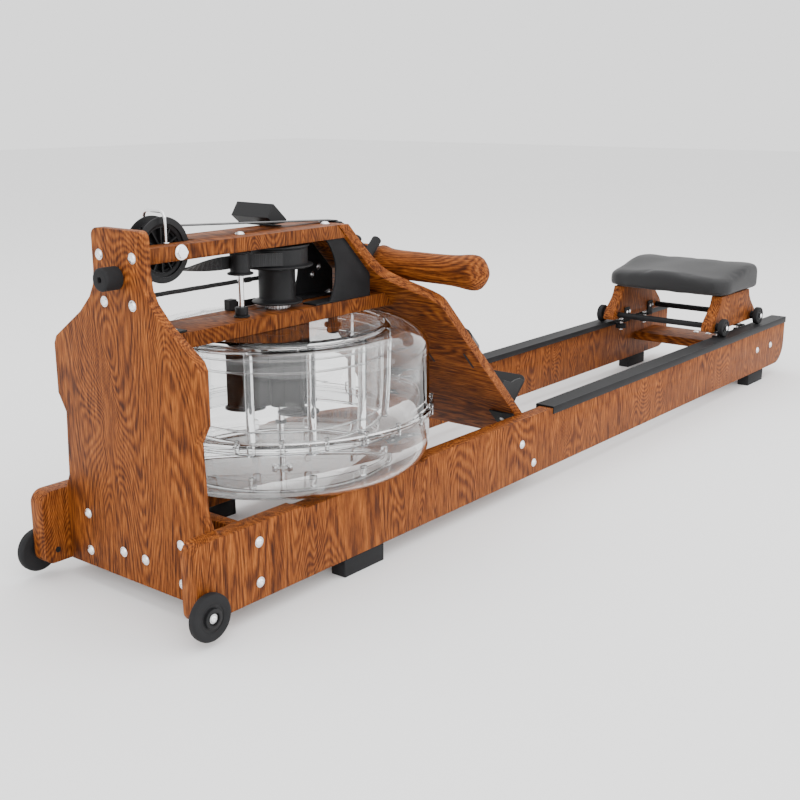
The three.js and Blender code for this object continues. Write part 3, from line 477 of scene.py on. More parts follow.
def wood(name, grain, seed, tone=1.0):
    """Red-brown timber with a fine swirled figure drawn out along the named axes, under a dull oil finish."""
    stretch = [0.13 if axis in grain else 1.0 for axis in "XYZ"]
    turn = [math.radians(38) if axis == grain else 0 for axis in "XYZ"]
    recipe = Recipe(name)
    lie = recipe.place(stretch, move=(seed * 0.37, seed * 0.23, seed * 0.31))
    lie = recipe.node("ShaderNodeMapping", {"Vector": lie, "Rotation": turn}).outputs["Vector"]
    way = "Y" if grain == "X" else "X"
    broad = recipe.noise(lie, 9.0, 3, 0.55, 0.4)
    figure = recipe.node("ShaderNodeTexWave", {
        "Vector": lie, "Scale": 19.0, "Distortion": 34.0, "Detail": 4.0, "Detail Scale": 1.15,
        "Detail Roughness": 0.52}, bands_direction=way).outputs["Fac"]
    lines = recipe.node("ShaderNodeTexWave", {
        "Vector": lie, "Scale": 105.0, "Distortion": 30.0, "Detail": 3.0, "Detail Scale": 0.30,
        "Detail Roughness": 0.6}, bands_direction=way).outputs["Fac"]
    pores = recipe.noise(lie, 420.0, 3, 0.62)
    streak = recipe.noise(lie, 150.0, 4, 0.6, 0.8)
    drawn = [0.26 if axis in grain else 1.0 for axis in "XYZ"]
    knots = recipe.place(drawn, move=(seed, seed * 0.7, seed * 0.4))
    field = recipe.noise(knots, 9.5, 1, 0.4, 0.6)
    rings = recipe.total(recipe.total(field, 290.0, "MULTIPLY"), recipe.total(streak, 5.0, "MULTIPLY"))
    rings = recipe.total(recipe.total(rings, 0.0, "SINE"), 1.0)
    mixed = recipe.total(broad, 0.16, "MULTIPLY")
    for pattern, share in ((streak, 0.36), (figure, 0.12), (lines, 0.12), (rings, 0.105)):
        mixed = recipe.total(mixed, recipe.total(pattern, share, "MULTIPLY"))
    dark, brown, warm, light = [[channel * tone for channel in colour] for colour in WOOD_TONES]
    colour = recipe.ramp(mixed, [(0.265, dark), (0.405, brown), (0.545, warm), (0.725, light)])
    shade = recipe.span(pores, 0.62, 1.06, 0.36, 0.58)
    grey = recipe.node("ShaderNodeCombineColor", {0: shade, 1: shade, 2: shade}).outputs[0]
    recipe.set(Base_Color=recipe.blend(1.0, colour, grey, "MULTIPLY"))
    recipe.set(Roughness=recipe.span(streak, 0.64, 0.50), Specular_IOR_Level=0.13)
    recipe.bump(recipe.total(pores, mixed), 0.16, 0.4)
    return recipe.material


def moulding(name, colour, rough, grain=900.0, depth=0.25):
    """Moulded plastic or rubber with a fine cast grain and slight scuffing."""
    recipe = Recipe(name)
    place = recipe.place((1, 1, 1))
    scuff = recipe.noise(place, 30, 5, 0.65)
    colours = [(0.3, [c * 0.8 for c in colour]), (0.55, colour), (0.75, [c * 1.3 for c in colour])]
    recipe.set(Base_Color=recipe.ramp(scuff, colours), Roughness=recipe.span(scuff, rough - 0.08, rough + 0.1),
               Specular_IOR_Level=0.22)
    recipe.bump(recipe.noise(place, grain, 2, 0.5), 0.35, depth)
    return recipe.material


def coated_steel(name, colour):
    """Powder-coated steel with an orange-peel surface."""
    recipe = Recipe(name)
    place = recipe.place((1, 1, 1))
    cloud = recipe.noise(place, 14, 4, 0.6)
    colours = [(0.35, [c * 0.8 for c in colour]), (0.65, [c * 1.3 for c in colour])]
    recipe.set(Base_Color=recipe.ramp(cloud, colours), Roughness=recipe.span(cloud, 0.5, 0.65),
               Specular_IOR_Level=0.16)
    recipe.bump(recipe.noise(place, 420, 2, 0.5), 0.25, 0.2)
    return recipe.material


def bright_metal(name, rough=0.12, tone=0.90):
    """Polished plating with faint wiping marks."""
    recipe = Recipe(name)
    marks = recipe.noise(recipe.place((1, 1, 9)), 60, 5, 0.6)
    wiped = (tone - 0.16, tone - 0.15, tone - 0.13)
    recipe.set(Base_Color=recipe.ramp(marks, [(0.3, wiped), (0.7, (tone, tone, tone))]))
    recipe.set(Roughness=recipe.span(marks, rough * 0.6, rough * 1.6), Metallic=1.0)
    return recipe.material


def clear_plastic(name, tint, rough=0.004):
    """Clear moulded plastic, faintly uneven as blow-moulded shells are."""
    recipe = Recipe(name)
    drift = recipe.noise(recipe.place((1, 1, 1)), 9, 3, 0.5)
    recipe.set(Base_Color=recipe.ramp(drift, [(0.3, tint), (0.7, [min(1, c * 1.02) for c in tint])]))
    recipe.set(Roughness=recipe.span(drift, rough, rough * 2.5), Transmission_Weight=1.0, IOR=1.36)
    recipe.bump(drift, 0.02, 1.0)
    return recipe.material


def woven(name, colour, pitch=1.6):
    """Flat webbing with crossing yarns."""
    recipe = Recipe(name)
    size = 2.0 / (pitch * MM) / 6.3
    place = recipe.place((1, 1, 1))
    weave = recipe.total(recipe.waves(place, size, "X"), recipe.waves(place, size, "Y"), "MULTIPLY")
    fuzz = recipe.noise(place, 300, 3, 0.6)
    lift = recipe.total(weave, recipe.total(fuzz, 0.5, "MULTIPLY"))
    colours = [(0.2, [c * 0.5 for c in colour]), (0.9, [c * 1.5 for c in colour])]
    recipe.set(Base_Color=recipe.ramp(lift, colours), Roughness=recipe.span(fuzz, 0.65, 0.85))
    recipe.set(Sheen_Weight=0.25, Sheen_Roughness=0.4)
    recipe.bump(lift, 0.6, 0.35)
    return recipe.material


def upholstery(name, colour):
    """Satin moulded skin with a fine pebble grain."""
    recipe = Recipe(name)
    place = recipe.place((1, 1, 1))
    pebble = recipe.node("ShaderNodeTexVoronoi", {"Vector": place, "Scale": 620.0}).outputs["Distance"]
    wear = recipe.noise(place, 11, 5, 0.6)
    colours = [(0.32, [c * 0.9 for c in colour]), (0.5, colour), (0.72, [c * 1.12 for c in colour])]
    recipe.set(Base_Color=recipe.ramp(wear, colours), Roughness=recipe.span(wear, 0.52, 0.62),
               Specular_IOR_Level=0.28)
    recipe.set(Sheen_Weight=0.08, Sheen_Roughness=0.5)
    recipe.bump(recipe.total(pebble, recipe.total(wear, 0.4, "MULTIPLY")), 0.4, 0.3)
    return recipe.material


def display_glass(name):
    """A dark reflective display with a faint segment tint."""
    recipe = Recipe(name)
    glow = recipe.noise(recipe.place((1, 1, 1)), 40, 2, 0.5)
    recipe.set(Base_Color=recipe.ramp(glow, [(0.3, (0.02, 0.026, 0.024)), (0.7, (0.035, 0.045, 0.04))]))
    recipe.set(Roughness=recipe.span(glow, 0.08, 0.16), Coat_Weight=0.5, Coat_Roughness=0.05)
    return recipe.material


# ---- values a user would change ----

class RowerSizes(bpy.types.PropertyGroup):
    """Sizes of the small parts that finish the machine"""
    board_edge: bpy.props.FloatProperty(
        name="Board edge", description="Rounding of the boards' edges in millimetres", default=1.3, min=0.2)
    metal_edge: bpy.props.FloatProperty(
        name="Metal edge", description="Rounding of sheet metal edges in millimetres", default=0.7, min=0.1)
    bolt_head: bpy.props.FloatProperty(
        name="Bolt head", description="Radius of the dome bolts in millimetres", default=7.8, min=2)
    tank_ribs: bpy.props.IntProperty(
        name="Tank ribs", description="Number of pillars round the tank's inner ring", default=12, min=3)
    pad_swell: bpy.props.FloatProperty(
        name="Pad swell", description="How far the seat cover may swell", default=0.004, unit="LENGTH")
    lens: bpy.props.FloatProperty(
        name="Lens", description="Focal length of the camera in millimetres", default=51.825)


class RowerColours(bpy.types.PropertyGroup):
    """Main colours of the machine"""
    black: bpy.props.FloatVectorProperty(
        name="Black", description="Plastic and coated steel", subtype="COLOR", default=(0.0088, 0.0088, 0.0096))
    cover: bpy.props.FloatVectorProperty(
        name="Seat cover", description="Seat upholstery", subtype="COLOR", default=(0.0120, 0.0120, 0.0128))
    floor: bpy.props.FloatVectorProperty(
        name="Floor", description="Studio floor", subtype="COLOR", default=(0.90, 0.90, 0.90))


WOOD_TONES = ((0.046, 0.0105, 0.0022), (0.122, 0.031, 0.0055), (0.225, 0.062, 0.0105), (0.345, 0.108, 0.020))
BEAM_TONE = 0.8
TREES = {}
FINISH = {}


def prepare():
    """Makes the node trees and the shared materials."""
    TREES["fasteners"] = fastener_tree()
    TREES["ring"] = ring_tree()
    black = tuple(bpy.context.scene.rower_colours.black)
    FINISH["plastic"] = moulding("black_moulding", black, 0.48)
    FINISH["grip_plastic"] = moulding("ribbed_moulding", tuple(c * 1.3 for c in black), 0.6)
    FINISH["rubber"] = moulding("black_rubber", tuple(c * 1.35 for c in black), 0.72, 500, 0.4)
    FINISH["steel"] = coated_steel("black_powder_coat", tuple(c * 1.25 for c in black))
    FINISH["chrome"] = bright_metal("polished_chrome")
    FINISH["bolt"] = bright_metal("bolt_zinc", 0.3, 0.98)
    FINISH["clear"] = clear_plastic("clear_tank_plastic", (0.985, 0.99, 0.99))
    FINISH["clear_edge"] = clear_plastic("clear_rib_plastic", (0.95, 0.96, 0.965), 0.012)
    FINISH["strap"] = woven("drive_webbing", tuple(c * 1.3 for c in black))
    FINISH["cord"] = woven("bungee_braid", tuple(c * 1.1 for c in black), 1.1)
    FINISH["cover"] = upholstery("seat_cover", tuple(bpy.context.scene.rower_colours.cover))
    FINISH["display"] = display_glass("display_window")


def dome_bolt(radius):
    """A flanged dome head with a socket, standing on z = 0."""
    socket = radius * 0.34
    dome = [(radius * 0.86 * math.cos(math.radians(a)), 0.9 + radius * 0.44 * math.sin(math.radians(a)))
            for a in (0, 20, 40, 58)]
    top = dome[-1][1] + 0.25
    profile = [(0, 0.1), (radius, 0.1), (radius, 0.8), (radius * 0.9, 1.0)] + dome
    return lathe(profile + [(socket, top), (socket * 0.94, top - 2.2), (0, top - 2.5)], BOLT_SEGMENTS)


def hex_bolt(radius, height):
    """A plain hexagon head between 1.2 above z = 0 and the given height."""
    hexagon = arc(0, 0, radius, 0, 300, 5)
    return prism(hexagon, 1.2, height)


# ---- frame ----

def build_woodwork(sizes):
    grains = {"left_rail": "Z", "right_rail": "Z", "front_panel": "Z", "front_crossbar": "Z",
              "rear_crossbar": "Y", "top_beam": "YZ", "lower_deck": "YZ", "footboard": "Y"}
    for seed, (node, grain) in enumerate(grains.items(), 1):
        tone = BEAM_TONE if grain == "YZ" else 1.0
        board(node, wood(node + "_timber", grain, seed * 1.37, tone), bevel=sizes.board_edge)


def build_metalwork(sizes):
    for node in ("left_track_cap", "right_track_cap", "left_side_plate", "right_side_plate",
                 "roller_bracket", "monitor_bracket"):
        board(node, FINISH["steel"], sizes.metal_edge)
    board("bungee_anchor", FINISH["steel"], 0.8)
    for node in ("left_front_foot", "left_rear_foot", "right_front_foot", "right_rear_foot"):
        board(node, FINISH["rubber"], 1.6)
    board("handle_rest", FINISH["rubber"], 0.9)

    deck_top = span("lower_deck")[1].z
    panel_back = span("front_panel")[1].x
    bracket = Shape()
    bracket.add(block(panel_back + 0.4, panel_back + 68, -42, -14, deck_top + 0.4, deck_top + 3.2))
    bracket.add(block(panel_back + 0.4, panel_back + 3.2, -42, -14, deck_top + 0.4, deck_top + 30))
    make("deck_angle", bracket, [FINISH["steel"]], bevel=0.6)

    # Angles that hold the footboard's front face to the rails.
    for name, side in SIDES.items():
        edges = sorted((side * 102, side * 156.4))
        angle = Shape()
        angle.add(block(508, 556, *edges, -BOARD_THICK - 3.6, -BOARD_THICK - 0.4), ON_BOARD)
        wall = sorted((side * 152.6, side * 156.4))
        face = -BOARD_THICK - 3
        outline = [(508, face), (556, face), (556, -50), (540, -62), (514, -50)]
        plate, faces = prism([(x, -z) for x, z in outline], *wall)
        angle.add(([(x, z, -y) for x, y, z in plate], faces), ON_BOARD)
        make(name + "_board_angle", angle, [FINISH["steel"]], bevel=0.7)

    low, high = span("bumper")
    radius = (high.z - low.z) / 2
    length = high.x - low.x
    profile = [(0, 0), (radius - 1.5, 0), (radius, 1.5), (radius, length - 4)]
    profile += arc(radius - 4, length - 4, 4, 0, 90, 5)[1:]
    profile += [(5, length), (4.2, length - 0.8), (4.2, length - 11), (0, length - 11)]
    stop = Shape().add(lathe(profile), shifted(high.x, 0, (low.z + high.z) / 2) @ turned_to("-X"))
    make("bumper_stop", stop, [FINISH["rubber"]], replaces=["bumper"])


def build_fasteners(sizes):
    outer = span("right_rail")[1].y
    inner = span("right_rail")[0].y
    panel_front = span("front_panel")[0].x
    beam_top = span("top_beam")[1].z
    bar_top = span("rear_crossbar")[1].z
    deck_top = span("lower_deck")[1].z
    places = []
    for side in SIDES.values():
        for x, z in ((118.7, 117.5), (118.7, 56.4), (800.7, 98.6), (842.8, 52.8), (1920.9, 87.9),
                     (2009.3, 87.4)):
            places.append(((x, side * outer, z), (0, side, 0)))
        for y, z in ((36, 514), (31, 448), (106, 114.5), (106, 55), (25, 72)):
            places.append(((panel_front, side * y, z), (-1, 0, 0)))
        places.append(((1998, side * 18, bar_top), (0, 0, 1)))
        places.append(((508, side * 24, deck_top + 3.3), (0, 0, 1)))
    places.append(((264, -18, beam_top), (0, 0, 1)))
    places.append(((451.6, -20.7, beam_top), (0, 0, 1)))
    head = sizes.bolt_head
    fasteners("frame_bolts", dome_bolt(head), places, FINISH["bolt"])

    small = []
    lean = ON_BOARD.to_3x3()
    for side in SIDES.values():
        small.append(((500, side * 41, 446), (0, -side, 0)))
        small.append(((484, side * 41, 434), (0, -side, 0)))
        angle_face = ON_BOARD @ Vector((532, side * 122, -BOARD_THICK - 3.6))
        small.append((angle_face, lean @ Vector((0, 0, -1))))
        small.append((ON_BOARD @ Vector((530, side * 152.6, -42)), (0, -side, 0)))
        small.append((ON_BOARD @ Vector((101, side * 0.1 + side * 30, 4.1)), lean @ Vector((0, 0, 1))))
    small.append(((88, -28, deck_top + 3.2), (0, 0, 1)))
    small.append(((118, -28, deck_top + 3.2), (0, 0, 1)))
    small.append(((panel_front + 21.4, -32, 448), (1, 0, 0)))
    fasteners("small_bolts", dome_bolt(head * 0.66), small, FINISH["bolt"])

    # Blind holes near the rails' front ends, where a carrying bar bolts on; a black disc with a sunk middle
    # sits over each as painted shade for the inside of the hole.
    dark = []
    for side in SIDES.values():
        dark.append(((22, side * inner, 50), (0, -side, 0)))
    ring = lathe([(0, 0.05), (4.6, 0.05), (4.6, 0.5), (3.4, 0.5), (3.4, 0.2), (0, 0.2)], 24)
    fasteners("rail_eyelets", ring, dark, FINISH["plastic"])


# ---- tank ----

def shell_profile(height, radius, bore, corner=TANK_CORNER, wall=TANK_WALL, step=TANK_STEP, ring=TANK_RING):
    """Closed wall profile of one half of the tank: radius and height above the seam."""
    roof = height - step
    outer = [(bore, height), (ring - 8, height)] + arc(ring - 3, height - 2.5, 2.5, 90, 20, 3)
    outer += [(ring + 2.5, roof + 0.6), (ring + 6, roof)]
    outer += arc(radius - corner, roof - corner, corner, 90, 0, 14)
    outer += [(radius, 6.5), (radius + 1.2, 4.6)] + arc(radius + 6.4, 3.0, 1.5, 80, 0, 2)
    outer += [(radius + 7.9, 0.25)]
    inner = [(radius - wall, 0.25)] + arc(radius - corner, roof - corner, corner - wall, 0, 90, 14)
    inner += [(ring, roof - wall), (ring - 4, height - wall), (bore, height - wall), (bore, height)]
    return outer + inner


def build_tank(sizes):
    low, high = span("tank_upper_shell")
    bottom, seam = span("tank_lower_shell")[0].z, (span("tank_lower_shell")[1].z + low.z) / 2
    axis = centre("tank_upper_shell")
    radius = (high.y - low.y) / 2 - 8
    up = shifted(axis.x, 0, seam)
    upper = Shape().add(lathe(shell_profile(high.z - seam, radius, 9), TANK_SEGMENTS), up)
    make("tank_dome", upper, [FINISH["clear"]], replaces=["tank_upper_shell"], angle=50)
    down = up @ Matrix.Scale(-1, 4, (0, 0, 1))
    bowl = shell_profile(seam - bottom, radius, 0)[:-1]
    lower = Shape().add(lathe(bowl, TANK_SEGMENTS), down)
    make("tank_bowl", lower, [FINISH["clear"]], replaces=["tank_lower_shell"], angle=50)

    seal = [(242, -0.16), (250.5, -0.16), (250.5, 0.16), (242, 0.16), (242, -0.16)]
    gasket = Shape().add(lathe(seal, 96), up)
    make("tank_gasket", gasket, [FINISH["rubber"]])

    ring_low, ring_high = span("tank_baffle_ring")
    bore = 167.2
    wall = [(bore, ring_low.z), (bore + 3.2, ring_low.z), (bore + 3.2, ring_high.z)]
    rim = 4.2
    edge = Shape()
    edge.add(lathe([(bore, ring_low.z + rim), *wall[1:], (bore, ring_high.z), (bore, ring_low.z + rim)], 96),
             shifted(axis.x, 0, 0))
    make("baffle_wall", edge, [FINISH["clear"]], replaces=["tank_baffle_ring"], angle=50)
    bead = Shape()
    rims = ((ring_low.z + 3.2, 173.0, 3.0), (ring_low.z + 23, 171.8, 1.8), (ring_high.z - 3, 173.0, 3.0),
            (ring_high.z - 16, 171.8, 1.8), (ring_high.z - 36, 171.8, 1.8))
    for height, out, thick in rims:
        circle = [(axis.x + out * math.cos(a), out * math.sin(a), height)
                  for a in (2 * math.pi * i / 96 for i in range(96))]
        bead.add(sweep(circle, thick, 12, closed=True))
    make("baffle_beads", bead, [FINISH["clear_edge"]])
    pillar = lathe(drum(6.6, -1, ring_high.z - ring_low.z + 2.5, 2.4), 20)
    pillar = ([(x + bore + 10.0, y, z) for x, y, z in pillar[0]], pillar[1])
    ringed("baffle_pillars", pillar, sizes.tank_ribs, shifted(axis.x, 0, ring_low.z), FINISH["clear_edge"])

    floor = bottom + 4.3
    wall = [(168, floor), (171, floor), (171, floor + 17), (168, floor + 17), (168, floor)]
    foot = Shape().add(lathe(wall, 96), shifted(axis.x, 0, 0))
    make("bowl_ring", foot, [FINISH["clear"]])
    stub = lathe(drum(6.0, 0, 21, 2.2), 20)
    stub = ([(x + 176.4, y, z) for x, y, z in stub[0]], stub[1])
    ringed("bowl_stubs", stub, sizes.tank_ribs, shifted(axis.x, 0, bottom + 10.2), FINISH["clear_edge"])
    lug = lathe(drum(3.6, -9.0, 11.0, 1.2), 16)
    lug = ([(x + radius + 4.9, y, z) for x, y, z in lug[0]], lug[1])
    ringed("seam_lugs", lug, 24, up, FINISH["clear_edge"])
    fill = Shape().add(lathe(drum(17, floor, floor + 9, 1.2, 9.5), 48), shifted(axis.x, 0, 0.2))
    make("shaft_socket", fill, [FINISH["clear_edge"]])

    plug_low, plug_high = span("fill_plug")
    at = shifted(centre("fill_plug").x, 0, plug_low.z)
    tall = plug_high.z - plug_low.z
    plug = [(0, 0), (8, 0), (9.5, 1), (10.6, 3), (10.6, 10.5), (13.5, 11), (14.9, 12), (14.9, 17), (13.5, 18.2),
            (8.4, 18.8), (8.4, tall - 0.4), (8, tall), (0, tall)]
    make("tank_plug", Shape().add(lathe(plug, 40), at), [FINISH["plastic"]],
         replaces=["fill_plug"])


# ---- drive ----

def build_drive(sizes):
    axis = centre("drive_shaft").x
    on_axis = shifted(axis, 0, 0)
    low, high = span("drive_shaft")
    radius = (high.y - low.y) / 2
    shaft = lathe([(0, low.z), (radius - 1, low.z), (radius, low.z + 1), (radius, high.z - 1),
                   (radius - 1, high.z), (0, high.z)], 48)
    make("paddle_shaft", Shape().add(shaft, on_axis), [FINISH["chrome"]], body="paddle",
         replaces=["drive_shaft"])

    hub_low, hub_high = span("impeller")
    bore = radius + 0.3
    crown = hub_high.z
    hub = [(bore, hub_low.z + 3), (15, hub_low.z + 3), (17, hub_low.z + 8), (17, crown - 14), (30, crown - 9),
           (30, crown), (bore, crown), (bore, hub_low.z + 3)]
    collar = drum(9.5, hub_low.z - 30, hub_low.z - 24, 0.8, bore)
    middle = Shape().add(lathe(hub, 48), on_axis).add(lathe(collar, 32), on_axis)
    make("paddle_hub", middle, [FINISH["plastic"]], body="paddle", replaces=["impeller"])
    reach, foot = 86.0, 33.0
    bend = [(13 + (reach - 13) * i / 12, 13 * math.sin(math.pi * i / 12)) for i in range(13)]
    outline = [(x, y + 2) for x, y in bend] + [(x, y - 2) for x, y in reversed(bend)]
    blade = Shape().add(prism(outline, hub_low.z + 4, crown - 2))
    blade.add(lathe(drum(foot, hub_low.z, hub_low.z + 5, 1.2), 40), shifted(56, 6, 0))
    blade = ([tuple(point) for point in blade.points], blade.faces)
    spin = Matrix.Rotation(math.radians(129), 4, "Z")
    ringed("paddle_blades", blade, 3, on_axis @ spin, FINISH["plastic"], "paddle")

    base, top = span("bearing_ring")
    race = lathe([(7.5, base.z), (18, base.z), (18, 404.5), (15.5, top.z), (7.5, top.z), (7.5, base.z)], 48)
    make("shaft_bearing", Shape().add(race, on_axis), [FINISH["chrome"]], replaces=["bearing_ring"])
    tooth = block(17, 20.2, -1.3, 1.3, base.z, base.z + 4.2)
    ringed("bearing_teeth", tooth, 24, on_axis, FINISH["bolt"])

    base, top = span("strap_reel")
    reel = [(bore, base.z), (39, base.z)] + arc(39, base.z + 2, 2, -90, 90, 4)
    reel += [(32, base.z + 5.5), (29.6, base.z + 8), (29.6, 463), (31, 465.6), (56, 466.6)]
    reel += arc(56.6, 468.6, 1.9, -80, 80, 4)
    reel += [(53, 470.8), (50, 472), (50, 496), (51.5, 498), (53, 498.6), (53, top.z - 1), (52, top.z)]
    reel += [(20, top.z), (19, top.z - 5), (bore, top.z - 5), (bore, base.z)]
    make("reel_drum", Shape().add(lathe(reel, 80), on_axis), [FINISH["plastic"]],
         body="reel", replaces=["strap_reel"])

    wheel = centre("front_pulley")
    at = shifted(wheel.x, 0, wheel.z) @ turned_to("+Y")
    rim, groove, face, half = 47.4, 32.2, 14.4, 11.4
    outer = [(38, -face), (rim - 1.5, -face)] + arc(rim - 1.2, -face + 1.2, 1.2, -90, 0, 3)
    outer += [(rim, -half - 0.6), (rim - 3, -half), (groove + 2, -half + 0.6), (groove, -half + 2)]
    mirrored = [(r, -h) for r, h in reversed(outer)]
    rim_profile = outer + mirrored + [(38, 10), (29.5, 6), (29.5, -6), (38, -10), (38, -face)]
    centre_profile = [(4.4, -12), (9, -12), (10, -11), (10, -2), (30, -1.6), (30, 1.6), (10, 2), (10, 11),
                      (9, 12), (4.4, 12), (4.4, -12)]
    pulley = Shape().add(lathe(rim_profile, 96), at).add(lathe(centre_profile, 64), at)
    make("pulley_wheel", pulley, [FINISH["plastic"]], body="pulley",
         replaces=["front_pulley"])
    spoke = block(9, 38.5, -1.1, 1.1, -9.5, 9.5)
    ringed("pulley_spokes", spoke, 12, at, FINISH["plastic"], "pulley")

    low, high = span("pulley_axle")
    half = span("top_beam")[1].y
    axle = Shape().add(lathe(drum(3.9, low.y + 4, high.y, 0.6), 32), at)
    axle.add(lathe(drum(11, half + 0.4, half + 1.9, 0.4, 4.2), 40), at)
    axle.add(lathe(drum(11, -half - 1.9, -half - 0.4, 0.4, 4.2), 40), at)
    axle.add(hex_bolt(9.2, 6.4), shifted(wheel.x, -half, wheel.z) @ turned_to("-Y"))
    axle.add(hex_bolt(8.2, 5.6), shifted(wheel.x, half, wheel.z) @ turned_to("+Y"))
    make("pulley_pin", axle, [FINISH["bolt"]], replaces=["pulley_axle"], bevel=0.5)

    low, high = span("pulley_guard")
    middle = (low.x + high.x) / 2
    leg, bend, head = high.y - 2.4, 9.0, high.z - 2.4
    wire = [(middle, -leg, low.z - 0.2)]
    wire += [(middle, -y, z) for y, z in arc(leg - bend, head - bend, bend, 0, 90, 6)]
    wire += [(middle, y, z) for y, z in arc(leg - bend, head - bend, bend, 90, 0, 6)]
    wire += [(middle, leg, low.z - 0.2)]
    guard = Shape().add(sweep(wire, 2.3, 16))
    for side in SIDES.values():
        guard.add(lathe(drum(5.2, 0.2, 2.4, 0.6), 24), shifted(middle, side * leg, low.z - 0.3))
    make("pulley_wire", guard, [FINISH["chrome"]], replaces=["pulley_guard"])

    post = centre("guide_post")
    low, high = span("guide_post")
    at = shifted(post.x, post.y, 0)
    rod = Shape().add(lathe(drum(4.5, low.z + 1, high.z, 0.5), 32), at)
    make("guide_rod", rod, [FINISH["chrome"]], replaces=["guide_post"])
    collar = Shape().add(lathe(drum(12.6, low.z, low.z + 2.6, 0.6, 4.6), 40), at)
    collar.add(lathe(drum(10, low.z + 2.6, low.z + 15.5, 1.2, 4.6), 40), at)
    make("guide_collar", collar, [FINISH["plastic"]])
    low, high = span("guide_roller")
    spool = [(5, low.z), (18.8, low.z)] + arc(18.8, low.z + 1.5, 1.5, -90, 90, 4)
    spool += [(16.4, low.z + 3.6), (15.4, low.z + 5), (15.4, high.z - 4), (16.4, high.z - 3)]
    spool += [(17.8, high.z - 2.4), (17.8, high.z - 0.6), (17, high.z), (5, high.z), (5, low.z)]
    make("guide_spool", Shape().add(lathe(spool, 64), at), [FINISH["plastic"]],
         body="guide", replaces=["guide_roller"])

    low, high = span("rear_roller")
    top = centre("rear_roller")
    roll = [(2.9, low.y), (6, low.y), (6.5, low.y + 0.6), (6.5, high.y - 0.6), (6, high.y), (2.9, high.y),
            (2.9, low.y)]
    make("strap_roller", Shape().add(lathe(roll, 40), shifted(top.x, 0, top.z) @ turned_to("+Y")),
         [FINISH["plastic"]], body="top_roller", replaces=["rear_roller"])

    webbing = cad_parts["pull_strap"].data.materials
    webbing.clear()
    webbing.append(FINISH["strap"])

    # A doubled elastic cord, knotted into the anchor and hooked on the lower drum.
    low, high = span("bungee_cord")
    y, z = (low.y + high.y) / 2, (low.z + high.z) / 2
    cords = Shape()
    for lift in (-1.7, 1.7):
        path = [(low.x + (high.x - low.x) * i / 24, y, z + lift + 0.15 * math.sin(i * 1.7)) for i in range(25)]
        cords.add(sweep(path, 1.75, 14))
    for x in (90, high.x - 34):
        cords.add(lathe(drum(4.4, 0, 13, 1.2), 24), shifted(x, y, z) @ turned_to("+X"))
    make("elastic_cords", cords, [FINISH["cord"]], replaces=["bungee_cord"])

    sensor = Shape().add(block(284, 300, 32, 45.5, 399.9, 417)).add(block(300, 352, 43.2, 45.4, 399.9, 411))
    make("speed_sensor", sensor, [FINISH["plastic"]], bevel=1.0)


def build_handle(sizes):
    low, high = span("handle_grip")
    middle = centre("handle_grip")
    half = (high.y - low.y) / 2
    curve = [(0, half), (5, half - 0.3), (8.5, half - 1.4), (13.5, half - 4.4), (20.5, half - 9.6),
             (26, half - 15.2), (28.6, half - 20.5), (29.5, half - 27), (29.5, half - 34), (28.6, half - 44),
             (27, half - 56), (25.9, half - 70), (25.4, half - 86), (25.2, 130), (25.2, 90), (25.4, 60),
             (26.1, 44), (27.6, 35), (29.8, 28), (31, 22.5), (30.9, 18.5), (29.4, 15), (27.6, 13.2), (27.4, 11)]
    profile = [(r, -y) for r, y in curve] + [(r, y) for r, y in reversed(curve)]
    at = shifted(middle.x, 0, middle.z) @ Matrix.Scale(HANDLE_SQUASH, 4, (1, 0, 0)) @ turned_to("+Y")
    grip = Shape().add(lathe(profile, 72), at)
    make("handle_bar", grip, [wood("handle_timber", "Y", 8.3)], body="handle",
         replaces=["handle_grip"], angle=60)

    # The strap's end loops round the middle of the handle and is sewn back on itself.
    wide, tall = GRIP_ROUND * HANDLE_SQUASH + 0.9, GRIP_ROUND + 0.9
    loop = [(middle.x + wide * math.cos(a), 0, middle.z + tall * math.sin(a))
            for a in (2 * math.pi * i / 48 for i in range(49))]
    band = Shape().add(ribbon(loop, (0, 1, 0), STRAP_WIDTH, STRAP_THICKNESS))
    make("handle_loop", band, [FINISH["strap"]], body="handle")

    tail_low, tail_high = span("strap_tail")
    start = Vector((tail_low.x + 0.6, 0, tail_high.z - 0.9))
    end = Vector((middle.x - wide * 0.72, 0, middle.z + tall * 0.69 + 0.6))
    path = [start.lerp(end, i / 40) for i in range(41)]
    mesh = bpy.data.meshes.new("strap_run")
    points, faces = ribbon(path, (0, 1, 0), STRAP_WIDTH, STRAP_THICKNESS)
    mesh.from_pydata([metres(p) for p in points], [], faces)
    mesh.materials.append(FINISH["strap"])
    polish(mesh)
    strap = link(bpy.data.objects.new("strap_run", mesh))
    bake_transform(strap)
    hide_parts("strap_tail")


# ---- foot rests ----

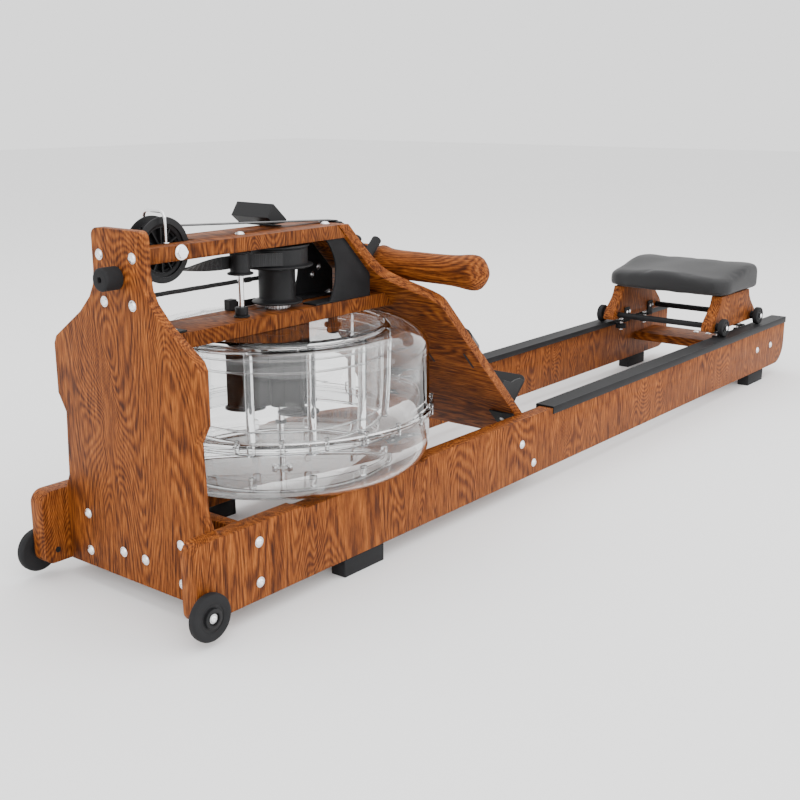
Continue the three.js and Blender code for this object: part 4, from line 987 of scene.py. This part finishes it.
def build_foot_rests(sizes):
    for name, side in SIDES.items():
        inner, outer = sorted((side * 52, side * 128))
        middle = (inner + outer) / 2
        plate = Shape()
        corners = []
        for cx, cy, start in ((538, outer - 18, 0), (250, outer - 18, 90), (250, inner + 18, 180),
                              (538, inner + 18, 270)):
            corners += arc(cx, cy, 18, start, start + 90, 8)
        plate.add(prism(corners, 0.3, 5.6), ON_BOARD)
        for i in range(11):
            s = 262 + 17 * i
            rib = arc(s, middle - 30, 2.6, 180, 360, 6) + arc(s, middle + 30, 2.6, 0, 180, 6)
            plate.add(prism(rib, 5.4, 7.7), ON_BOARD)
        make(name + "_foot_pad", plate, [FINISH["grip_plastic"]],
             replaces=[name + "_foot_plate"], bevel=0.6)

        edges = sorted((side * 46, side * 139))
        cup = Shape()
        cup.add(block(452, 519, *edges, 8.4, 12.2), ON_BOARD)
        back = [(edges[0], 9), (edges[1], 9), (edges[1], 58)]
        back += arc(edges[1] - 14, 58, 14, 0, 90, 6)[1:] + arc(edges[0] + 14, 58, 14, 90, 180, 6)
        back.append((edges[0], 58))
        points, faces = prism(back, 515, 519)
        cup.add(([(z, x, y) for x, y, z in points], faces), ON_BOARD)
        cheek = [(458, 9), (518, 9), (518, 62), (503, 57), (492, 46), (484, 34), (458, 21)]
        for y0 in (edges[0], edges[1] - 4):
            points, faces = prism([(x, -z) for x, z in cheek], y0, y0 + 4)
            cup.add(([(x, z, -y) for x, y, z in points], faces), ON_BOARD)
        for i in range(4):
            cup.add(block(462 + 13 * i, 466 + 13 * i, middle - 32, middle + 32, 12.0, 13.6), ON_BOARD)
        make(name + "_heel_piece", cup, [FINISH["plastic"]], body=name + "_heel",
             replaces=[name + "_heel_cup"], bevel=0.9)

        # The foot strap comes up out of the board, arches over the shoe and goes back through it.
        half = ((44, 0.5), (43.5, 8), (41, 17), (35, 27), (25, 35), (12, 39.5))
        rise = [(-y, z) for y, z in half] + [(0, 41)] + list(reversed(half))
        path = [Vector((342, middle + y, z)) for y, z in rise]
        band = Shape().add(ribbon(path, (1, 0, 0), 34, 2.0), ON_BOARD)
        make(name + "_foot_strap", band, [FINISH["strap"]], bevel=0.4)
        # The slots are not cut through the board: a thin black patch shaped like each slot lies on both board
        # faces as painted shade for the opening the strap goes into.
        for face, way in ((0.35, 1), (-BOARD_THICK - 0.35, -1)):
            slot_shade = Shape()
            for y in (middle - 44, middle + 44):
                hole = arc(362, y, 2.4, -90, 90, 6) + arc(322, y, 2.4, 90, 270, 6)
                slot_shade.add(prism(hole, face - 0.3, face + 0.3), ON_BOARD)
            make(f"{name}_strap_slot_{'rear' if way > 0 else 'front'}", slot_shade, [FINISH["plastic"]])
        buckle = Shape()
        lift = ON_BOARD @ Matrix.Translation((342, middle - 6 * side, 42.2))
        loop = [(-20, -12, 0), (20, -12, 0), (20, 12, 0), (-20, 12, 0)]
        buckle.add(sweep(loop, 2.0, 10, closed=True), lift)
        buckle.add(sweep([(-20, 0, 0.4), (20, 0, 0.4)], 1.8, 10), lift)
        make(name + "_strap_buckle", buckle, [FINISH["plastic"]], angle=60)


# ---- monitor ----

def build_monitor(sizes):
    low, high = span("monitor")
    near, far = low.y, high.y
    outline = [(351.8, 541.5), (366.4, 562.8), (395.6, 536.0), (391.5, 530.6), (366.0, 530.0)]
    points, faces = prism([(x, -z) for x, z in outline], near, far)
    case = Shape().add(([(x, z, -y) for x, y, z in points], faces))
    make("monitor_case", case, [FINISH["plastic"]], body="display", replaces=["monitor"],
         bevel=1.0)
    slope = Vector((395.6 - 366.4, 0, 536.0 - 562.8))
    turn = Matrix.Rotation(math.atan2(-slope.z, slope.x), 4, "Y")
    middle = Vector(((395.6 + 366.4) / 2, (near + far) / 2, (536.0 + 562.8) / 2))
    face = Matrix.Translation(middle) @ turn
    window = Shape().add(block(-15, 5, -30, 30, 0.05, 0.9), face)
    make("monitor_window", window, [FINISH["display"]], body="display", bevel=0.4)
    keys = Shape()
    for i in range(4):
        keys.add(lathe(drum(4.2, 0, 1.7, 0.7), 28), face @ Matrix.Translation((12.2, -24 + 16 * i, 0.05)))
    make("monitor_keys", keys, [FINISH["rubber"]], body="display")


# ---- transport wheels ----

def build_transport_wheels(sizes):
    for name, side in SIDES.items():
        node = name + "_transport_wheel"
        low, high = span(node)
        middle = centre(node)
        radius = (high.z - low.z) / 2
        wide = high.y - low.y
        at = shifted(middle.x, low.y if side > 0 else high.y, middle.z) @ outward(side)
        tyre = [(20, 1), (radius - 5, 1)] + arc(radius - 5, 6, 5, -80, 0, 5)
        tyre += arc(radius - 4.5, wide - 7, 4.5, 0, 90, 5)
        tyre += [(24, wide - 2.4), (22, wide - 3.4), (20, wide - 3.4)]
        wheel = Shape().add(lathe(tyre + [tyre[0]], 80), at)
        hub = [(5, 0), (13, 0), (13, 1.2), (20.3, 1.4), (20.3, wide - 4), (15, wide - 4.4), (14.4, wide - 1),
               (13, wide - 0.2), (9.5, wide - 0.2), (9, wide - 3), (5, wide - 3), (5, 0)]
        wheel.add(lathe(hub, 64), at, 1)
        make(name + "_carry_wheel", wheel, [FINISH["rubber"], FINISH["plastic"]],
             body=name + "_transport", replaces=[node])
        bolt = Shape().add(lathe(drum(4.4, -2, wide - 3, 0.4), 24), at)
        bolt.add(dome_bolt(6.8), at @ shifted(0, 0, wide - 2.9))
        make(name + "_carry_bolt", bolt, [FINISH["bolt"]])


# ---- seat ----

def pad_top(x, y):
    """Height of the pad's top over its underside: low at the front, humped in the middle, level at the rear."""
    along = min(1.0, max(0.0, (x + 100) / 165))
    rise = along * along * (3 - 2 * along)
    across = y / 165
    hump = 12 * math.exp(-(across / 0.6) ** 2) * (1 - rise)
    hollow = 3.0 * math.exp(-((abs(across) - 0.42) / 0.26) ** 2 - ((x - 12) / 48) ** 2)
    return 37 + 25.5 * rise + hump - hollow


def pad_plan():
    """The pad's outline seen from above: straight rear edge, bowed front edge, rounded corners."""
    half = [(109, y) for y in range(0, 147, 7)]
    half += arc(91, 149, 18, 0, 90, 6) + [(78 - 9 * i, 167) for i in range(15)]
    half += arc(-66, 125, 42, 90, 180, 8)[:-1]
    half += [(-107 - 12 * (1 - (y / 125) ** 2), y) for y in range(124, -1, -6)] + [(-119, 0)]
    half = [point for i, point in enumerate(half) if i == 0 or math.dist(point, half[i - 1]) > 1]
    return half + [(x, -y) for x, y in reversed(half[1:-1])]


def pad_cage():
    """The pad before its cover is drawn tight: a rounded block with a saddle-shaped top."""
    floor = span("seat_pad")[0].z
    middle = centre("left_carriage_plate").x
    plan = pad_plan()
    layers = [(0.975, 1.0), (1.004, 0.97), (1.012, 0.90), (1.012, 0.76), (1.012, 0.60), (1.012, 0.44),
              (1.010, 0.29), (1.002, 0.17), (0.983, 0.08), (0.95, 0.02)]
    layers += [(0.91 * (1 - i / 16), 0.0) for i in range(16)]
    points, faces = [], []
    for share, drop in layers:
        for x, y in plan:
            x, y = x * share, y * share
            points.append((middle + x, y, floor + 1 + (1 - drop) * (pad_top(x, y) - 2.5)))
    count = len(plan)
    for i in range(len(layers) - 1):
        for k in range(count):
            a, b = i * count + k, i * count + (k + 1) % count
            faces.append((a, b, b + count, a + count))
    points += [(middle, 0, floor - 1.5 + pad_top(0, 0)), (middle, 0, floor + 1)]
    last = (len(layers) - 1) * count
    for k in range(count):
        faces.append((last + k, last + (k + 1) % count, len(points) - 2))
        faces.append(((k + 1) % count, k, len(points) - 1))
    return points, faces


CLOTH_FRAMES = 20
CLOTH_PRESSURE = 4.0
CLOTH_STIFFNESS = 25
COVER_VOXEL = 0.005


def inflate(pad, limit):
    """Draws the cover tight by cloth simulation under pressure, and caps how far any point may move."""
    remesh = pad.modifiers.new("Even mesh", "REMESH")
    remesh.mode = "VOXEL"
    remesh.voxel_size = COVER_VOXEL
    bpy.context.view_layer.update()
    even = bpy.data.meshes.new_from_object(pad.evaluated_get(bpy.context.evaluated_depsgraph_get()))
    pad.modifiers.clear()
    pad.data = even
    rest = [vertex.co.copy() for vertex in even.vertices]
    cloth = pad.modifiers.new("Cover", "CLOTH")
    cloth.settings.use_pressure = True
    cloth.settings.uniform_pressure_force = CLOTH_PRESSURE
    cloth.settings.tension_stiffness = CLOTH_STIFFNESS
    cloth.settings.compression_stiffness = CLOTH_STIFFNESS
    cloth.settings.effector_weights.gravity = 0
    cloth.point_cache.frame_start, cloth.point_cache.frame_end = 1, CLOTH_FRAMES
    scene = bpy.context.scene
    for moment in range(1, CLOTH_FRAMES + 1):
        scene.frame_set(moment)
    tight = bpy.data.meshes.new_from_object(pad.evaluated_get(bpy.context.evaluated_depsgraph_get()))
    pad.modifiers.clear()
    scene.frame_set(1)
    for vertex, start in zip(tight.vertices, rest):
        move = vertex.co - start
        if move.length > limit:
            vertex.co = start + move.normalized() * limit
    pad.data = tight


def build_pad(sizes):
    points, faces = pad_cage()
    mesh = bpy.data.meshes.new("pad_cover")
    mesh.from_pydata([metres(p) for p in points], [], faces)
    polish(mesh, angle=0)
    pad = link(bpy.data.objects.new("pad_cover", mesh))
    inflate(pad, sizes.pad_swell)
    smooth = pad.modifiers.new("Even skin", "SMOOTH")
    smooth.factor = 0.5
    smooth.iterations = 6
    finer = pad.modifiers.new("Finer skin", "SUBSURF")
    finer.levels = finer.render_levels = 1
    pad.data.shade_smooth()
    pad.data.materials.clear()
    pad.data.materials.append(FINISH["cover"])
    settle(pad, "seat", ["seat_pad"])


def build_carriage(sizes):
    grain_seed = 11.0
    for name, side in SIDES.items():
        board(name + "_carriage_plate", wood(name + "_carriage_timber", "Z", grain_seed + side * 2.0),
              bevel=sizes.board_edge, body="seat")
    board("seat_base", FINISH["steel"], 1.2, "seat")
    bolts = []
    for place in ENDS:
        rod = place + "_axle_rod"
        low, high = span(rod)
        middle = centre(rod)
        at = shifted(middle.x, 0, middle.z) @ turned_to("+Y")
        inner = span("right_carriage_plate")[0].y
        bar = Shape().add(lathe(drum(5.9, low.y + 1, high.y - 1, 0.8), 32), at)
        bar.add(lathe(drum(7.4, -inner + 0.6, inner - 0.6, 1.0, 6.0), 40), at)
        for side in SIDES.values():
            bar.add(lathe(drum(10, 150.3, 154.4, 0.6, 6.1), 32),
                    shifted(middle.x, 0, middle.z) @ outward(side))
        make(place + "_axle_bar", bar, [FINISH["steel"]], body="seat", replaces=[rod])
        for name, side in SIDES.items():
            node = f"{name}_{place}_wheel"
            low, high = span(node)
            axis = centre(node)
            way_out = outward(side)
            inside = low.y if side > 0 else -high.y
            outside = high.y if side > 0 else -low.y
            at = shifted(axis.x, 0, axis.z) @ way_out
            radius = (high.z - low.z) / 2
            tread = [(15, inside + 6.5), (radius - 3, inside + 6.2)]
            tread += arc(radius - 3, inside + 9.2, 3, -90, 0, 4) + arc(radius - 3, outside - 3, 3, 0, 90, 4)
            tread += [(16.5, outside), (15.6, outside - 1), (15, outside - 1)]
            wheel = Shape().add(lathe(tread + [tread[0]], 64), at)
            core = [(6.3, inside), (9.5, inside), (10, inside + 0.6), (10, inside + 6.6), (15.3, inside + 7.2),
                    (15.3, outside - 1.6), (11.5, outside - 2.2), (10.6, outside - 0.4), (6.3, outside - 0.4),
                    (6.3, inside)]
            wheel.add(lathe(core, 48), at, 1)
            make(f"{name}_{place}_track_wheel", wheel, [FINISH["rubber"], FINISH["plastic"]],
                 body=f"{name}_{place}_seat_wheel", replaces=[node])
            knob = f"{name}_{place}_wheel_spokes"
            spoke = block(10, 15.6, -0.9, 0.9, outside - 3.2, outside - 1.1)
            ringed(knob, spoke, 8, at, FINISH["plastic"], f"{name}_{place}_seat_wheel")
            bolts.append(((axis.x, side * (outside + 2.2), axis.z), (0, side, 0)))
            build_side_roller(name, side, place)
    fasteners("axle_bolts", dome_bolt(5.9), bolts, FINISH["bolt"], "seat")
    under = span("seat_base")[0].z - 0.1
    screws = [((centre("seat_base").x + x, y, under), (0, 0, -1)) for x in (-62, 62) for y in (-96, 96)]
    fasteners("pad_screws", dome_bolt(6.0), screws, FINISH["bolt"], "seat")


def build_side_roller(name, side, place):
    """A roller on an upright bolt that runs along the inner side of the rail, with its steel angle."""
    node = f"{name}_{place}_guide_roller"
    low, high = span(node)
    axis = centre(node)
    at = shifted(axis.x, axis.y, 0)
    radius = (high.x - low.x) / 2
    ring = drum(radius, low.z, high.z, 1.6, 3.6)
    make(f"{name}_{place}_side_wheel", Shape().add(lathe(ring, 48), at), [FINISH["rubber"]],
         body=f"{name}_{place}_side_roller", replaces=[node])
    plate_low = span(name + "_carriage_plate")[0].z
    angle = Shape()
    inner = side * 120.4
    outer = side * 117.6
    edges = sorted((inner, outer))
    reach = sorted((outer, side * 148))
    angle.add(block(axis.x - 13, axis.x + 13, *reach, plate_low - 12.6, plate_low - 9.8))
    angle.add(block(axis.x - 13, axis.x + 13, *edges, plate_low - 12.6, plate_low + 26))
    make(f"{name}_{place}_roller_angle", angle, [FINISH["steel"]], body="seat", bevel=0.7)
    bolt = Shape()
    bolt.add(lathe(drum(3.2, low.z - 1.5, plate_low - 9, 0.4), 20), at)
    bolt.add(lathe(drum(5.4, low.z - 4.6, low.z - 0.6, 0.8), 24), at)
    bolt.add(lathe(drum(5.6, high.z + 0.5, plate_low - 13, 0.6, 3.3), 24), at)
    bolt.add(hex_bolt(5.2, 4.6), at @ shifted(0, 0, plate_low - 10.4))
    for x in (-7, 7):
        bolt.add(hex_bolt(4.2, 3.6), shifted(axis.x + x, edges[0] if side > 0 else edges[1], plate_low + 15)
                 @ outward(-side))
    make(f"{name}_{place}_roller_bolt", bolt, [FINISH["bolt"]], body="seat")


# ---- studio ----

CAMERA_PLACE = Vector((-944.55, -1297.63, 724.29))
CAMERA_YAW = -51.233
CAMERA_PITCH = 75.30
CAMERA_ROLL = -0.142
CAMERA_SENSOR = 36
FLOOR_HALF = 14.0
AIR_STRENGTH = 1.65
LAMPS = (
    ("key_light", (-2.6, -2.8, 2.9), (0, 0, 0.25), 4.6, 120),
    ("top_light", (0.4, 0.2, 3.2), (0, 0, 0), 5.0, 60),
    ("side_light", (1.5, -3.4, 1.6), (0.5, 0, 0.2), 3.0, 45),
)


def area_light(name, place, target, size, power):
    lamp = bpy.data.lights.new(name, "AREA")
    lamp.shape = "DISK"
    lamp.size = size
    lamp.energy = power
    obj = link(bpy.data.objects.new(name, lamp))
    obj.location = place
    obj.rotation_euler = (Vector(target) - Vector(place)).to_track_quat("-Z", "Y").to_euler()


def build_studio(sizes):
    camera = bpy.data.cameras.new("studio_camera")
    camera.lens = sizes.lens
    camera.sensor_width = CAMERA_SENSOR
    holder = link(bpy.data.objects.new("studio_camera", camera))
    turn = Matrix()
    for angle, axis in ((CAMERA_YAW, "Z"), (CAMERA_PITCH, "X"), (CAMERA_ROLL, "Z")):
        turn = turn @ Matrix.Rotation(math.radians(angle), 4, axis)
    holder.matrix_world = Matrix.Translation(metres(CAMERA_PLACE)) @ turn
    bpy.context.scene.camera = holder

    floor_mesh = bpy.data.meshes.new("floor")
    half = FLOOR_HALF
    floor_mesh.from_pydata([(-half, -half, 0), (half, -half, 0), (half, half, 0), (-half, half, 0)], [],
                           [(0, 1, 2, 3)])
    floor = link(bpy.data.objects.new("floor", floor_mesh))
    recipe = Recipe("studio_floor")
    pale = tuple(bpy.context.scene.rower_colours.floor)
    haze = recipe.noise(recipe.place((1, 1, 1)), 0.6, 2, 0.5)
    recipe.set(Base_Color=recipe.ramp(haze, [(0.2, [c * 0.99 for c in pale]), (0.8, pale)]), Roughness=0.9,
               Specular_IOR_Level=0.1)
    floor_mesh.materials.append(recipe.material)

    world = bpy.data.worlds.new("studio_air")
    world.use_nodes = True
    air = world.node_tree.nodes["Background"]
    air.inputs["Color"].default_value = (1, 1, 1, 1)
    air.inputs["Strength"].default_value = AIR_STRENGTH
    bpy.context.scene.world = world
    for lamp in LAMPS:
        area_light(*lamp)


# ---- add-on ----

class RowerPiece:
    """Shared running of the operators: builds one group"""
    bl_options = {"REGISTER", "UNDO"}
    maker = None

    def execute(self, context):
        self.maker(context.scene.rower_sizes)
        return {"FINISHED"}


class ROWER_OT_studio(RowerPiece, bpy.types.Operator):
    """Floor, lights and camera"""
    bl_idname = "rower.studio"
    bl_label = "Studio"
    maker = staticmethod(build_studio)


class ROWER_OT_woodwork(RowerPiece, bpy.types.Operator):
    """Boards of the frame with rounded edges and grain"""
    bl_idname = "rower.woodwork"
    bl_label = "Woodwork"
    maker = staticmethod(build_woodwork)


class ROWER_OT_metalwork(RowerPiece, bpy.types.Operator):
    """Track caps, plates, brackets, feet and bumper"""
    bl_idname = "rower.metalwork"
    bl_label = "Metalwork and feet"
    maker = staticmethod(build_metalwork)


class ROWER_OT_fasteners(RowerPiece, bpy.types.Operator):
    """Bolts and screws of the frame"""
    bl_idname = "rower.fasteners"
    bl_label = "Fasteners"
    maker = staticmethod(build_fasteners)


class ROWER_OT_tank(RowerPiece, bpy.types.Operator):
    """Clear tank with its inner ring, ribs, gasket and plug"""
    bl_idname = "rower.tank"
    bl_label = "Tank"
    maker = staticmethod(build_tank)


class ROWER_OT_drive(RowerPiece, bpy.types.Operator):
    """Paddle, reel, pulleys, strap and elastic cord"""
    bl_idname = "rower.drive"
    bl_label = "Drive"
    maker = staticmethod(build_drive)


class ROWER_OT_handle(RowerPiece, bpy.types.Operator):
    """Handle and the strap that runs to it"""
    bl_idname = "rower.handle"
    bl_label = "Handle"
    maker = staticmethod(build_handle)


class ROWER_OT_foot_rests(RowerPiece, bpy.types.Operator):
    """Foot plates, heel cups and foot straps"""
    bl_idname = "rower.foot_rests"
    bl_label = "Foot rests"
    maker = staticmethod(build_foot_rests)


class ROWER_OT_monitor(RowerPiece, bpy.types.Operator):
    """Monitor with its window and keys"""
    bl_idname = "rower.monitor"
    bl_label = "Monitor"
    maker = staticmethod(build_monitor)


class ROWER_OT_transport_wheels(RowerPiece, bpy.types.Operator):
    """Wheels at the front for moving the machine"""
    bl_idname = "rower.transport_wheels"
    bl_label = "Transport wheels"
    maker = staticmethod(build_transport_wheels)


class ROWER_OT_pad(RowerPiece, bpy.types.Operator):
    """Seat pad with its cover drawn tight by cloth simulation"""
    bl_idname = "rower.pad"
    bl_label = "Seat pad"
    maker = staticmethod(build_pad)


class ROWER_OT_carriage(RowerPiece, bpy.types.Operator):
    """Seat carriage with its axles, wheels and side rollers"""
    bl_idname = "rower.carriage"
    bl_label = "Seat carriage"
    maker = staticmethod(build_carriage)


OPERATORS = (ROWER_OT_studio, ROWER_OT_woodwork, ROWER_OT_metalwork, ROWER_OT_fasteners, ROWER_OT_tank,
             ROWER_OT_drive, ROWER_OT_handle, ROWER_OT_foot_rests, ROWER_OT_monitor, ROWER_OT_transport_wheels,
             ROWER_OT_pad, ROWER_OT_carriage)


class ROWER_PT_panel(bpy.types.Panel):
    """Lists the values and the operators"""
    bl_label = "Water rower"
    bl_idname = "ROWER_PT_panel"
    bl_space_type = "VIEW_3D"
    bl_region_type = "UI"
    bl_category = "Rower"

    def draw(self, context):
        for group in (context.scene.rower_sizes, context.scene.rower_colours):
            for name in group.bl_rna.properties.keys():
                if name not in ("rna_type", "name"):
                    self.layout.prop(group, name)
        for operator in OPERATORS:
            self.layout.operator(operator.bl_idname)


def register():
    for group in (RowerSizes, RowerColours, *OPERATORS, ROWER_PT_panel):
        bpy.utils.register_class(group)
    bpy.types.Scene.rower_sizes = bpy.props.PointerProperty(type=RowerSizes)
    bpy.types.Scene.rower_colours = bpy.props.PointerProperty(type=RowerColours)


def unregister():
    del bpy.types.Scene.rower_sizes
    del bpy.types.Scene.rower_colours
    for group in reversed((RowerSizes, RowerColours, *OPERATORS, ROWER_PT_panel)):
        bpy.utils.unregister_class(group)


def main():
    register()
    prepare()
    for operator in OPERATORS:
        family, action = operator.bl_idname.split(".")
        getattr(getattr(bpy.ops, family), action)()


if __name__ == "__main__":
    main()
